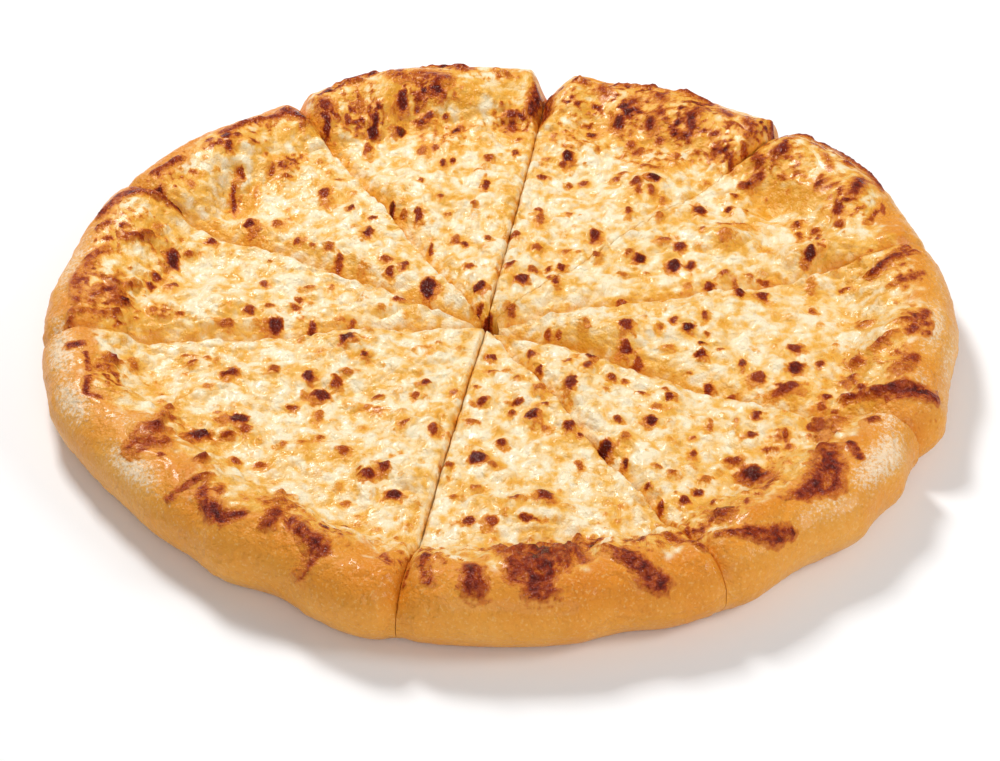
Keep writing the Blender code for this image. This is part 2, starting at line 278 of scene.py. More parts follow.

# %% [markdown]
# ## Where the cheese browned
#
# Blisters of cheese dome up in the oven and scorch: a soft orange ring with a red-brown to
# nearly black top. The larger ones were placed as seen on a level sheet 19 mm up, and are
# slid along the line of sight to the top of the pizza. Sizes are in millimetres: x, y, half
# width along x, half width along y, and how dark from 0 to 1.

# %% Blisters of the front left
FRONT_LEFT_BLISTERS = (
    (-106.5, -11.3, 3.6, 2.2, 0.55), (-87.5, -13.8, 3.2, 4.0, 0.95), (-72.8, -16, 2.0, 3.4, 0.80),
    (-58.8, -22.5, 3.6, 3.4, 1.0), (-52, -31.5, 2.2, 2.8, 0.90), (-98, -3.5, 2.4, 3.0, 0.70),
    (-80, -2, 2.8, 2.4, 0.60), (-90.6, -1.5, 1.8, 1.6, 0.55), (-124.4, -6, 2.2, 1.8, 0.60),
    (-135, -5, 2.6, 2.6, 0.50), (-102, -44.8, 3.4, 3.6, 0.85), (-85.3, -42.8, 2.4, 2.6, 0.60),
    (-72, -45.6, 2.4, 3.8, 0.95), (-61.3, -49, 2.4, 4.2, 0.70), (-66.9, -56.3, 4.2, 3.0, 0.90),
    (-57.3, -43.4, 2.4, 2.2, 0.50), (-76.9, -64, 2.6, 2.6, 0.70), (-66.3, -69.8, 2.2, 4.0, 0.50),
    (-45.4, -57.8, 2.8, 1.4, 0.65), (-27.9, -49.4, 2.2, 1.6, 0.85), (-31.3, -54.6, 2.0, 2.0, 0.60),
    (-17.8, -53, 2.6, 2.6, 0.50), (-6.5, -60.6, 3.0, 2.6, 0.80), (-2.9, -41.5, 2.4, 1.8, 0.65),
    (-3.5, -32, 2.0, 2.8, 0.80), (-9.6, -50.6, 1.2, 1.4, 0.60), (-96.3, -71.5, 4.4, 4.2, 1.0),
    (-92.5, -77.5, 2.6, 3.8, 0.60), (-97.8, -81, 1.8, 2.6, 0.60), (-109, -81.3, 3.6, 3.8, 1.0),
    (-104, -66.6, 1.6, 1.6, 0.55), (-116.3, -37.9, 2.6, 1.8, 0.65), (-119.6, -33.8, 2.2, 1.6, 0.55),
    (-111.6, -33.8, 1.8, 1.4, 0.55), (-109.4, -51.5, 2.0, 2.0, 0.45), (-122.3, -66, 2.4, 3.4, 0.60),
    (-122.9, -75.4, 3.2, 2.4, 0.60), (-122.5, -89.4, 1.6, 2.0, 0.75), (-106.9, -95, 2.2, 3.0, 0.75),
    (-94.6, -96, 2.4, 2.4, 0.60), (-85.3, -96.9, 2.6, 2.2, 0.60), (-35, -72.9, 2.2, 2.8, 0.60),
    (-24.4, -75.9, 2.2, 3.8, 0.70), (-56.6, -89, 2.8, 2.8, 0.62), (-65, -81.3, 2.2, 2.2, 0.60),
    (-71.3, -84.4, 2.0, 1.8, 0.50), (-78, -85.6, 2.4, 2.0, 0.50), (-46.9, -101.9, 3.4, 2.8, 0.85),
    (-41.5, -97.5, 3.0, 3.0, 0.80), (-50, -98.8, 1.4, 1.2, 0.60), (-37.5, -113.1, 3.4, 2.2, 0.95),
    (-53.8, -117.5, 3.2, 1.2, 0.50), (-8.1, -92.5, 3.4, 3.2, 1.0), (-18.1, -95.6, 2.6, 2.0, 0.60),
    (-8.1, -108.1, 3.0, 2.2, 0.50), (-15.9, -113.1, 2.8, 1.6, 0.45), (-2.9, -96.9, 3.0, 2.6, 0.50),
    (0.5, -83.8, 2.4, 2.4, 0.80), (-10, -71.9, 3.0, 1.8, 0.50), (-10.6, -126.3, 2.6, 2.8, 0.80),
    (-2.5, -126.9, 2.6, 3.6, 0.70), (-53.8, -129.1, 1.6, 0.9, 0.80), (-45.3, -65.3, 3.6, 2.8, 0.42),
    (-48.8, -63.5, 2.4, 1.8, 0.42), (-57.5, -13, 1.8, 2.6, 0.60), (-76.9, -8, 1.4, 1.4, 0.55),
    (-8.6, -4.4, 2.0, 2.6, 0.75), (-5.0, -9.5, 2.2, 2.8, 0.80), (-51.9, -134.8, 1.8, 1.6, 0.5),
    (-46.9, -1.9, 2.0, 2.0, 0.40), (-28.8, -26, 3.4, 1.8, 0.35), (-62.0, -9.6, 2.4, 2.0, 0.45),
)

# %% Blisters of the front right
FRONT_RIGHT_BLISTERS = (
    (3.8, -1.9, 2.2, 3.0, 0.60), (11.3, -30, 1.8, 3.0, 0.75), (14.4, -40, 1.6, 3.2, 0.80),
    (26.6, -47.5, 2.2, 6.0, 0.85), (33, -37, 2.2, 2.8, 0.80), (34.4, -31.9, 2.6, 2.4, 0.95),
    (41.9, -43.8, 2.0, 2.2, 0.65), (6, -45.6, 2.0, 2.4, 0.55), (14.4, -50.6, 3.2, 3.2, 0.52),
    (6, -60.6, 2.6, 1.6, 0.75), (16.6, -60.6, 2.8, 1.8, 0.80), (11.6, -67.5, 3.2, 4.0, 0.95),
    (4.4, -65.9, 1.8, 1.8, 0.65), (25.4, -73.8, 2.4, 3.0, 0.85), (29.4, -78.5, 1.8, 1.6, 0.85),
    (16.6, -74.6, 2.2, 2.0, 0.48), (37, -89, 3.6, 3.6, 1.0), (28.8, -95.6, 1.8, 3.8, 0.55),
    (45.3, -92.5, 1.2, 3.4, 0.90), (56.9, -96.3, 1.6, 2.0, 0.60), (5.9, -113.8, 2.6, 2.6, 0.80),
    (16.5, -113, 3.6, 4.0, 0.85), (10, -125, 4.6, 1.6, 0.75), (52.5, -107.8, 1.6, 1.8, 0.80),
    (56.9, -118, 1.8, 3.4, 0.75), (65, -115, 2.4, 2.8, 0.80), (70.4, -110, 1.8, 2.4, 0.85),
    (78.4, -120, 3.4, 2.6, 0.90), (73, -103.8, 2.2, 3.0, 0.50), (62, -100, 2.6, 2.4, 0.55),
    (70, -89, 1.8, 2.8, 0.78), (70.6, -79.8, 1.6, 1.6, 0.60), (90.3, -100, 4.4, 3.6, 1.0),
    (83.5, -92.5, 3.6, 2.2, 0.70), (97.5, -86, 5.0, 1.6, 0.58), (91.3, -77.5, 2.2, 2.0, 0.80),
    (94.4, -65.6, 2.0, 3.6, 0.80), (55.4, -70.6, 2.6, 3.2, 0.95), (43, -69.4, 2.0, 1.8, 0.75),
    (62.5, -56.9, 2.0, 2.4, 0.80), (52.5, -53, 2.6, 1.6, 0.65), (60.9, -53, 1.4, 1.6, 0.60),
    (77.5, -51, 1.8, 2.6, 0.80), (58, -61.3, 2.8, 3.0, 0.50), (46.3, -45.6, 1.6, 1.4, 0.60),
    (85.6, -56.3, 1.8, 1.4, 0.65), (77, -72.5, 1.8, 4.0, 0.48), (45.6, -79.4, 2.2, 3.2, 0.50),
    (47.9, -10, 3.0, 4.0, 0.80), (47.5, -26.9, 2.6, 3.6, 0.80), (51.5, -36, 2.6, 4.4, 0.65),
    (66.9, -6.9, 2.2, 2.2, 0.75), (72.5, -12.5, 2.8, 2.6, 1.0), (79, -3.8, 1.8, 2.6, 0.75),
    (61.6, -11.9, 2.0, 3.0, 0.58), (76, -30, 2.6, 2.8, 0.85), (76.6, -22.8, 2.0, 1.4, 0.90),
    (64.4, -23.8, 2.4, 2.4, 0.45), (83.8, -26.5, 1.6, 1.2, 0.60), (91.3, -35.6, 1.8, 3.4, 0.85),
    (96.9, -43, 3.2, 3.0, 0.72), (79.4, -15.6, 1.4, 1.2, 0.60), (112, -25, 3.4, 2.8, 0.78),
    (111.6, -36.3, 3.4, 3.8, 0.95), (120.9, -35.6, 1.4, 2.2, 0.75), (135.4, -32.5, 2.0, 3.2, 0.70),
    (107.5, -48, 5.6, 3.4, 0.78), (103.5, -51.5, 3.4, 2.0, 0.65), (132, -43, 2.2, 2.0, 0.65),
    (128.4, -47.3, 2.6, 2.4, 0.55), (134.4, -50, 2.0, 2.4, 0.75), (121.5, -53.8, 2.2, 1.8, 0.80),
    (127.5, -55.6, 2.0, 1.8, 0.75), (119.0, -62, 2.2, 3.4, 0.62), (123.5, -66, 2.2, 1.8, 0.60),
    (117, -72, 3.4, 5.0, 0.62), (103.8, -77.5, 1.6, 3.4, 0.62), (121, -1.3, 1.8, 2.2, 0.55),
    (32.8, -9.4, 2.2, 3.6, 0.42), (18, -18.4, 1.4, 2.2, 0.60), (22, -19.4, 1.4, 2.6, 0.55),
    (25.6, -33.8, 1.8, 2.4, 0.60), (39.4, -50, 1.4, 1.6, 0.45), (71, -41, 1.6, 1.0, 0.45),
    (104.5, -84.6, 1.8, 1.4, 0.6), (113.0, -72.5, 1.4, 1.8, 0.7), (86.5, -69.8, 1.2, 2.0, 0.4),
)

# %% Blisters of the back left
BACK_LEFT_BLISTERS = (
    (-131.3, 28.8, 3.2, 6.0, 1.0), (-125.6, 33, 2.6, 1.8, 0.62), (-117.5, 42.5, 2.6, 2.6, 0.80),
    (-130, 42.5, 1.6, 1.8, 0.45), (-102.9, 55, 3.0, 3.4, 0.90), (-101, 48, 4.6, 5.0, 0.48),
    (-91.9, 56.9, 2.8, 3.2, 0.55), (-111.8, 74, 1.6, 6.4, 0.75), (-110.6, 66, 1.6, 4.6, 0.80),
    (-102.5, 77.5, 1.6, 7.6, 0.36), (-74, 78.1, 2.6, 5.4, 0.75), (-73.0, 71.0, 3.0, 4.6, 0.40),
    (-62.3, 66.9, 1.8, 2.6, 0.80), (-53.4, 60.6, 2.4, 1.2, 0.75), (-68.8, 89.4, 2.0, 1.2, 0.75),
    (-83, 44.4, 2.4, 2.6, 0.72), (-76.9, 41.3, 1.6, 1.4, 0.60), (-69.4, 39.4, 2.2, 2.2, 0.55),
    (-54.4, 50, 2.6, 3.8, 0.90), (-45.4, 65, 1.2, 5.4, 0.95), (-34.4, 65, 2.4, 4.0, 0.80),
    (-40.6, 63.8, 2.4, 2.4, 0.50), (-25.3, 76.3, 2.0, 3.0, 0.65), (-21.9, 63.8, 2.0, 1.4, 0.50),
    (-11.9, 71.3, 1.4, 1.8, 0.60), (-6.8, 86.3, 1.8, 5.4, 0.78), (-6.3, 106.3, 2.4, 2.8, 0.60),
    (-25.6, 103.8, 1.8, 3.4, 0.85), (-21.3, 105.6, 1.6, 2.2, 0.80), (-29, 115, 2.2, 3.0, 0.60),
    (-34.4, 112, 3.0, 4.6, 0.50), (-10.6, 96.3, 2.6, 1.0, 0.50), (-34.4, 90.6, 1.4, 1.4, 0.60),
    (-44, 126, 3.0, 3.2, 0.95), (-56.3, 125, 2.8, 3.0, 1.0), (-55.6, 135, 2.0, 4.0, 0.95),
    (-20, 129.4, 2.2, 2.8, 0.95), (-35.6, 133, 2.4, 2.4, 0.85), (-32.3, 139.4, 2.4, 2.8, 0.85),
    (-25, 140, 1.4, 1.8, 0.80), (-44.4, 151.3, 2.6, 6.6, 0.95), (-37.5, 153.8, 2.2, 3.2, 0.75),
    (-30, 164, 2.4, 4.6, 0.75), (-58, 113, 2.2, 5.4, 0.62), (-76.3, 131, 1.8, 5.6, 0.88),
    (-78, 151, 2.4, 4.4, 0.80), (-63, 149, 2.4, 4.8, 0.50), (-67.5, 136, 1.8, 3.4, 0.72),
    (-87.5, 130, 2.2, 2.8, 0.50), (-119.4, 125, 2.6, 3.0, 0.95), (-126.3, 121.9, 2.2, 2.2, 0.78),
    (-114.4, 125, 1.8, 2.0, 0.75), (-117.5, 113.8, 2.2, 3.0, 0.85), (-107.5, 118.8, 2.4, 1.6, 0.82),
    (-110, 93.8, 1.8, 3.4, 0.78), (-130, 95.6, 3.0, 1.6, 0.55), (-135, 93, 1.8, 1.8, 0.55),
    (-129.4, 85.6, 1.6, 3.6, 0.45), (-97.6, 95, 1.4, 5.0, 0.60), (-90, 90.4, 4.4, 1.4, 0.60),
    (-91, 98, 3.4, 6.0, 0.42), (-143, 80, 2.2, 4.0, 0.95), (-152.5, 82.5, 1.4, 1.6, 0.85),
    (-155, 55.6, 1.4, 1.8, 0.80), (-149, 46.4, 4.6, 1.4, 0.75), (-160, 47.5, 2.0, 1.6, 0.75),
    (-46.3, 31.9, 3.4, 2.2, 0.58), (-39, 27.5, 2.0, 3.8, 0.75), (-44.4, 22.5, 2.0, 2.6, 0.75),
    (-28.8, 11.9, 3.4, 4.4, 1.0), (-9.1, 13.8, 2.8, 3.2, 0.90), (-40, 3.8, 3.6, 2.0, 0.68),
    (-93.8, 13.8, 2.0, 2.0, 0.65), (-75.6, 11.3, 3.0, 2.0, 0.52), (-66.9, 13.1, 2.0, 2.6, 0.45),
    (-78.8, 3.1, 2.0, 2.4, 0.60), (-129.4, 11.9, 2.6, 3.2, 0.78), (-135.6, 16.3, 2.6, 1.8, 0.48),
    (-93, 30, 1.2, 1.2, 0.55), (-65, 27.5, 2.2, 4.6, 0.66), (-18.8, 45, 3.0, 3.0, 0.55),
    (-15, 43, 2.2, 2.0, 0.85), (-5.6, 46.3, 2.0, 2.6, 0.62), (-12.9, 27.9, 2.0, 2.0, 0.68),
    (-28.5, 38, 1.2, 3.6, 0.66), (-55.6, 23.8, 3.0, 4.4, 0.34), (-88.0, 101, 1.2, 3.0, 0.5),
)

# %% Blisters of the back right
BACK_RIGHT_BLISTERS = (
    (28, 108, 2.6, 4.0, 1.0), (25.6, 102.5, 2.2, 2.8, 0.72), (16.6, 92.8, 2.4, 1.8, 0.72),
    (34, 88, 2.6, 2.6, 0.66), (28.5, 86.5, 2.0, 2.0, 0.60), (38, 125.6, 2.4, 2.4, 0.95),
    (50.6, 136, 2.8, 4.6, 0.95), (63.8, 133, 3.0, 4.6, 0.92), (55, 119, 2.4, 3.6, 0.62),
    (59, 113.8, 2.4, 3.4, 0.56), (67.5, 121, 3.0, 2.2, 0.66), (77.5, 125, 4.4, 2.4, 0.62),
    (82, 134, 2.6, 4.0, 0.85), (82, 142, 2.8, 2.6, 0.85), (91, 127, 2.6, 1.6, 0.78),
    (64.4, 93, 3.6, 2.6, 1.0), (56, 89.4, 2.4, 3.0, 0.75), (48, 91, 2.4, 2.6, 0.66),
    (51, 96, 3.0, 1.6, 0.60), (62.5, 101, 5.4, 2.0, 0.56), (74.4, 110, 1.8, 3.2, 0.60),
    (97, 106, 1.6, 5.0, 0.75), (90.6, 112.5, 2.0, 3.8, 0.62), (103, 115, 2.0, 3.8, 0.62),
    (107.5, 113, 1.8, 4.4, 0.70), (108.8, 106, 2.6, 4.6, 0.66), (108.8, 94.4, 1.4, 2.2, 0.80),
    (120.6, 117.5, 2.4, 3.4, 0.88), (121.9, 124.4, 1.6, 3.2, 0.80), (113.8, 122.5, 1.4, 3.0, 0.60),
    (132.5, 89.4, 1.8, 4.0, 0.95), (133.8, 95, 1.6, 3.0, 0.60), (147.5, 85, 1.8, 2.2, 0.80),
    (138.8, 70, 2.4, 4.8, 0.80), (158, 73.8, 1.8, 5.4, 0.62), (141, 84, 1.2, 2.8, 0.75),
    (124.4, 38, 2.4, 3.4, 1.0), (121, 51, 1.8, 5.0, 0.66), (127.5, 54.4, 2.0, 2.2, 0.66),
    (138, 59.4, 2.2, 2.4, 0.62), (128.8, 43.8, 2.4, 2.0, 0.50), (101.6, 86, 3.4, 3.4, 0.66),
    (81.9, 69.4, 2.8, 4.6, 0.90), (93.8, 68.8, 2.0, 2.8, 0.85), (96.9, 79.4, 2.4, 1.6, 0.66),
    (101, 68, 1.2, 2.0, 0.60), (95.0, 58.8, 7.6, 3.4, 0.52), (91, 51.0, 4.0, 5.4, 0.42),
    (82, 55.6, 1.4, 3.0, 0.62), (51.9, 66.9, 1.6, 3.4, 0.70), (65, 63.8, 1.8, 3.0, 0.50),
    (61.9, 84, 2.4, 5.4, 0.62), (57.0, 84, 2.0, 4.0, 0.60), (66, 75.6, 2.0, 5.4, 0.44),
    (37.5, 48.8, 2.6, 4.8, 0.90), (15.6, 62.5, 2.2, 6.6, 0.55), (5, 49.4, 3.0, 2.4, 0.62),
    (14.8, 69.4, 1.8, 1.2, 0.66), (28, 65, 2.0, 1.4, 0.52), (14.4, 40, 2.8, 3.4, 0.58),
    (25.6, 38, 2.6, 1.6, 0.48), (31, 36.9, 1.6, 1.2, 0.46), (38, 35, 1.8, 3.6, 0.62),
    (65.6, 46.5, 3.8, 3.4, 0.58), (71.9, 41.9, 2.4, 3.0, 0.80), (55.4, 33, 2.8, 3.4, 1.0),
    (69, 28.8, 2.6, 4.2, 1.0), (75.6, 29.4, 1.8, 2.6, 0.85), (51, 36.9, 2.2, 2.0, 0.55),
    (88.8, 24.4, 2.4, 2.2, 0.60), (23.8, 27.5, 2.0, 2.4, 0.85), (18.8, 26.3, 1.6, 2.0, 0.75),
    (12.5, 25, 2.8, 2.2, 0.56), (3.5, 28, 2.4, 2.6, 0.75), (8, 18.8, 3.8, 2.8, 0.90),
    (21.3, 16.9, 1.6, 4.0, 0.82), (18.5, 20.6, 1.6, 1.4, 0.66), (46.9, 2.5, 2.8, 2.0, 0.62),
    (47.5, 22.5, 2.6, 1.6, 0.50), (57.5, 23, 1.6, 1.0, 0.50), (81.9, 13.8, 2.4, 3.6, 0.80),
    (93.8, 10, 2.2, 3.0, 0.88), (103, 8, 3.0, 3.8, 0.78), (104, 17.5, 4.0, 1.8, 0.60),
    (92.5, 16.9, 1.4, 2.6, 0.55), (98.8, 21.9, 2.2, 1.8, 0.48), (121.9, 13.8, 2.6, 5.0, 0.40),
    (135, 13, 2.4, 1.2, 0.62), (73.8, 16, 2.0, 3.0, 0.42), (5.6, 111.9, 1.8, 3.2, 0.72),
    (3.8, 131, 3.0, 3.6, 0.66), (3.8, 141, 3.0, 2.6, 0.82), (6.9, 121.9, 1.8, 1.6, 0.60),
    (41, 115, 1.4, 2.0, 0.55), (33.0, 118, 1.2, 2.4, 0.40), (18.8, 107.5, 2.2, 1.2, 0.42),
)
FLOOR_BLISTERS = FRONT_LEFT_BLISTERS + FRONT_RIGHT_BLISTERS + BACK_LEFT_BLISTERS + BACK_RIGHT_BLISTERS
print("blisters placed by eye:", len(FLOOR_BLISTERS))

# %% [markdown]
# ## Streaks and scorched drips on the rim
#
# On the slope and the crest the cheese ran into tongues and arcs and scorched glossy dark red.
# These follow the rim, so each is a streak between two places: degrees and row in millimetres,
# then its half width in millimetres and how dark.

# %% Streaks from the left round the front to the right
RIM_STREAKS = (
    (192.5, 162, 192.5, 166, 1.8, 0.90), (194.5, 160.5, 198.5, 160.5, 0.9, 0.80),
    (200.2, 161.5, 203.3, 165.3, 1.2, 0.78), (203.3, 165.3, 205, 162, 1.1, 0.72),
    (195, 152, 195.4, 153, 2.0, 0.75), (197, 155, 197.4, 156, 2.0, 0.72),
    (214.8, 155, 217, 166, 4.0, 0.72), (218.2, 157, 217.6, 166, 2.6, 0.66),
    (215, 155, 208, 142, 1.5, 0.55), (216.8, 137.5, 216.7, 142.5, 3.2, 1.0),
    (219, 128, 219, 129, 2.2, 0.70), (224, 151.5, 224.3, 152, 2.2, 0.72),
    (227, 173, 228.5, 158, 1.7, 0.72), (228.5, 158, 230.5, 163, 1.2, 0.62),
    (230, 163.5, 232.5, 168.4, 2.0, 0.86), (232.5, 168.4, 236, 169, 2.5, 0.92),
    (236, 169, 238, 164.5, 1.7, 0.78), (231, 157, 232.5, 160, 1.4, 0.6),
    (241, 157, 241.6, 165.5, 2.6, 0.82), (241, 157, 236.5, 139, 1.8, 0.50),
    (243.6, 160, 246.5, 163.5, 2.8, 0.80), (246.5, 163.5, 250, 164.5, 2.4, 0.86),
    (249.2, 163, 248.1, 177, 3.2, 0.50), (249.8, 167, 248.4, 177, 1.3, 0.66),
    (257, 155, 258.3, 160, 1.5, 0.66), (262.6, 159, 263.6, 168.5, 2.0, 0.72),
    (260.7, 160, 260.7, 169, 1.0, 0.60), (264.2, 157, 265.4, 160, 1.2, 0.55),
    (268.7, 162, 269.2, 169.5, 3.3, 0.86), (274.2, 152, 274.0, 165, 3.2, 0.80),
    (276.2, 158, 276.6, 169, 4.0, 0.92), (278.2, 150, 277.6, 163, 3.8, 0.90),
    (280.9, 151, 280.0, 159, 3.0, 0.80), (274.6, 150, 280.5, 152, 2.6, 0.78),
    (282.6, 142, 283.0, 157, 2.4, 0.78), (275.5, 143, 281, 144, 2.4, 0.66),
    (271.8, 146, 273.2, 155, 2.4, 0.74), (269.1, 168.6, 269.2, 169.6, 3.9, 0.88),
    (276.6, 168.2, 276.7, 169.4, 4.6, 0.94), (290.0, 171.8, 290.3, 172.8, 3.8, 0.95),
    (305.8, 171.6, 306.6, 172.4, 3.2, 0.92), (316.5, 163.2, 317.4, 163.0, 4.4, 0.92),
    (233.6, 168.0, 234.4, 168.6, 3.2, 0.92), (284.3, 138, 284.0, 145, 1.8, 0.66),
    (287.8, 161, 290.4, 173, 3.0, 0.95), (286.3, 155, 287.6, 160, 1.5, 0.62),
    (297.1, 159, 297.4, 165, 1.6, 0.72), (295.5, 150, 297.0, 158, 1.2, 0.60),
    (300.5, 161, 303, 165, 1.9, 0.82), (303, 165, 306, 172, 2.4, 0.92),
    (306, 172, 308.6, 174.5, 2.2, 0.86), (303.5, 152, 303.6, 153, 3.0, 0.85),
    (315.8, 134, 315.8, 140, 3.6, 1.0), (310.8, 161.5, 312.8, 163.5, 1.2, 0.70),
    (313.5, 163, 318, 161.5, 2.9, 0.88), (318, 161.5, 321, 158, 4.2, 0.92),
    (321, 158, 324.2, 152.8, 3.2, 0.82), (324, 165, 326, 158, 1.5, 0.84),
    (332, 160, 332.2, 161, 1.8, 0.88), (328, 146, 332, 150, 2.2, 0.55),
    (338.9, 146, 340.2, 158, 2.2, 0.78), (340.2, 158, 341.2, 173, 2.5, 0.90),
    (339.2, 160, 340.0, 170, 1.6, 0.72), (-16, 160, -13, 163, 2.6, 0.70),
    (-7.5, 160, -3.5, 163.5, 2.0, 0.72), (-5, 157.5, -6.2, 166, 1.5, 0.70),
    (-8, 165, -8, 166, 1.5, 0.72), (-12, 144, -12, 145, 2.3, 0.70), (-17, 143, -17, 144, 2.0, 0.70),
    (-2, 144, -2, 145, 2.0, 0.66), (-10, 151, -8, 154, 1.6, 0.60), (4, 156, 5.5, 165, 1.6, 0.68),
    (8.5, 151, 11.6, 164, 2.0, 0.76), (9.6, 157, 10.6, 166, 1.8, 0.70), (27.5, 136, 27.6, 137, 2.2, 0.78),
    (31.5, 153, 31.6, 154, 1.8, 0.70), (26, 159, 28, 164, 2.2, 0.85), (41, 137, 41, 144, 1.7, 0.80),
    (41, 155, 41.2, 156, 2.2, 0.88), (20, 157, 22, 163, 1.2, 0.60), (33, 160, 36, 164, 1.2, 0.55),
)

# %% Streaks of the back rim and the left
BACK_STREAKS = (
    (57, 158, 57.2, 160, 2.0, 0.80), (67, 153, 67.4, 156, 2.4, 0.80), (63, 160, 65, 163, 1.8, 0.66),
    (72, 160, 73, 163, 2.2, 0.62), (80.6, 150, 81.0, 165, 1.9, 0.86), (83.2, 148, 82.6, 163, 2.2, 0.86),
    (97, 158, 101, 162, 2.8, 0.66), (102, 161, 105, 163, 2.4, 0.62), (94, 165, 95, 168, 1.6, 0.66),
    (110, 165, 112, 167, 1.8, 0.66), (116.5, 156, 117, 160, 2.6, 0.70), (121.2, 157, 122.6, 165, 2.6, 0.85),
    (123, 162, 129, 165, 1.8, 0.78), (129, 165, 134.6, 163, 1.8, 0.78), (143.5, 163, 148.6, 165, 1.8, 0.80),
    (152.4, 150, 153.6, 158, 2.2, 0.85), (154, 160, 156.5, 168, 2.2, 0.84), (156.5, 168, 161, 171, 2.2, 0.82),
    (163, 165, 164.5, 168, 1.6, 0.7), (165, 155, 162, 150, 1.3, 0.66), (168.6, 160, 171.5, 165, 1.8, 0.70),
    (172, 163, 177, 166, 2.2, 0.62), (177, 166, 182, 163, 2.2, 0.62), (176, 152, 180.5, 149, 2.0, 0.66),
    (180, 147, 180.4, 149, 2.2, 0.82), (178.5, 156, 182, 158, 1.8, 0.62), (174, 145, 176, 149, 1.6, 0.55),
    (183.4, 150, 184.2, 161, 1.6, 0.66), (47.5, 158, 49.5, 163, 2.0, 0.66), (52.5, 163, 54.5, 165, 1.6, 0.72),
    (75.5, 163, 76.5, 166, 1.6, 0.6), (87.5, 163, 89.5, 166, 1.4, 0.5),
    (26, 171, 32, 175, 1.8, 0.76), (32, 175, 40, 176, 2.0, 0.82), (41, 173, 47, 172, 1.8, 0.72),
    (94, 171, 100, 173, 1.6, 0.74), (107, 173, 113, 171, 1.7, 0.76), (57, 169, 62, 170, 1.6, 0.70),
    (66, 170, 71, 169, 1.6, 0.72), (184, 164, 187, 168, 1.6, 0.60),
)
print("streaks:", len(RIM_STREAKS) + len(BACK_STREAKS))

# %% [markdown]
# Between the dark marks whole zones are toasted in fine mottling: direction and row of the middle,
# half width in degrees, half height in millimetres, and strength. Other faces are smooth, where a
# bubble pulled the cheese tight, and painted oily yellow and darker, as shade where they turn from
# the light. Flour dusts parts of the crust.

# %% Toasted zones, tight yellow faces with painted shade, and floury zones
TOASTED = (
    (200, 154, 7, 8, 0.55), (198, 140, 3.5, 7, 0.40), (211, 143, 5, 5, 0.35), (216.5, 160, 5, 9, 0.35),
    (233, 159, 6, 7, 0.42), (240, 150, 5, 12, 0.40), (248, 155, 6, 9, 0.55), (248.5, 169, 3.0, 10, 0.42),
    (262, 156, 5, 10, 0.50), (270, 148, 5, 9, 0.42), (278.5, 150, 8, 17, 0.55), (286, 149, 4, 12, 0.58),
    (292, 151, 5, 12, 0.58), (298, 151, 4, 14, 0.56), (305, 150, 6, 12, 0.52), (313, 150, 7, 10, 0.40),
    (318, 140, 6, 12, 0.35), (330, 147, 5, 9, 0.62), (326, 132, 4, 8, 0.35), (338.5, 172, 2.0, 14, 0.30),
    (340, 155, 2.5, 12, 0.45), (-14, 157, 6, 9, 0.45), (-5, 160, 5, 8, 0.50), (-12, 142, 8, 8, 0.35),
    (6, 160, 6, 8, 0.45), (22, 138, 5, 6, 0.55), (27, 156, 8, 8, 0.48), (40, 152, 8, 12, 0.50),
    (50, 150, 6, 14, 0.62), (58, 152, 8, 12, 0.68), (67, 150, 8, 14, 0.72), (75, 152, 6, 12, 0.66),
    (60, 130, 9, 12, 0.42), (74, 130, 7, 10, 0.40), (86, 140, 5, 14, 0.55), (90, 162, 6, 5, 0.40),
    (99, 155, 6, 10, 0.66), (103, 145, 5, 10, 0.50), (98, 130, 8, 12, 0.45), (111, 150, 6, 16, 0.58),
    (117, 152, 4, 14, 0.55), (129, 138, 6, 9, 0.52), (128, 158, 7, 6, 0.42), (142, 135, 4, 9, 0.40),
    (36, 170, 9, 8, 0.52), (46, 165, 7, 9, 0.60), (57, 164, 7, 7, 0.70), (68, 166, 7, 7, 0.72),
    (78, 165, 6, 6, 0.60),
    (96, 169, 6, 6, 0.75), (105, 170, 6, 7, 0.78), (114, 167, 5, 6, 0.70), (122, 161, 5, 7, 0.62),
    (131, 163, 5, 4, 0.60), (146, 164, 6, 6, 0.62), (157, 166, 6, 6, 0.62), (166, 163, 5, 6, 0.55),
    (136, 158, 7, 6, 0.42), (147, 160, 6, 6, 0.45), (154, 158, 4, 8, 0.50), (163, 158, 8, 7, 0.45),
    (162, 147, 7, 5, 0.35), (171, 140, 5, 6, 0.52), (179, 152, 7, 9, 0.66), (176, 163, 8, 6, 0.60),
    (184.5, 150, 3, 12, 0.50), (180, 130, 7, 8, 0.36), (225, 154, 5, 6, 0.3),
)
# Tight faces: smoother cheese, painted darker oily yellow as shade where they turn from the light.
SHADED_YELLOW_FACES = (
    (135, 28, 12, 9, 0.75), (156, 50, 9, 12, 0.95), (113, 70, 10, 12, 0.90), (112, 84, 9, 7, 0.45),
    (91, 48, 9, 8, 0.80), (46, 132, 8, 9, 0.85), (60, 132, 8, 9, 0.80), (36, 150, 6, 9, 0.55),
    (-15, 154, 6, 13, 0.70), (-48, 150, 6, 10, 0.80), (-107, 66, 8, 9, 0.65), (-128, 76, 9, 9, 0.50),
    (-72, 121, 3, 9, 0.60), (-120, 48, 5, 9, 0.45), (-140, -14, 10, 6, 0.75), (-148, 2, 9, 7, 0.45),
    (-100, -18, 16, 4, 0.45), (128, 76, 9, 8, 0.70), (36, -20, 20, 6, 0.55), (-33, -20, 12, 4, 0.35),
    (6, 123, 7, 6, 0.80), (14, 112, 9, 5, 0.40), (90, 124, 9, 8, 0.5), (75, 62, 14, 6, 0.4),
)
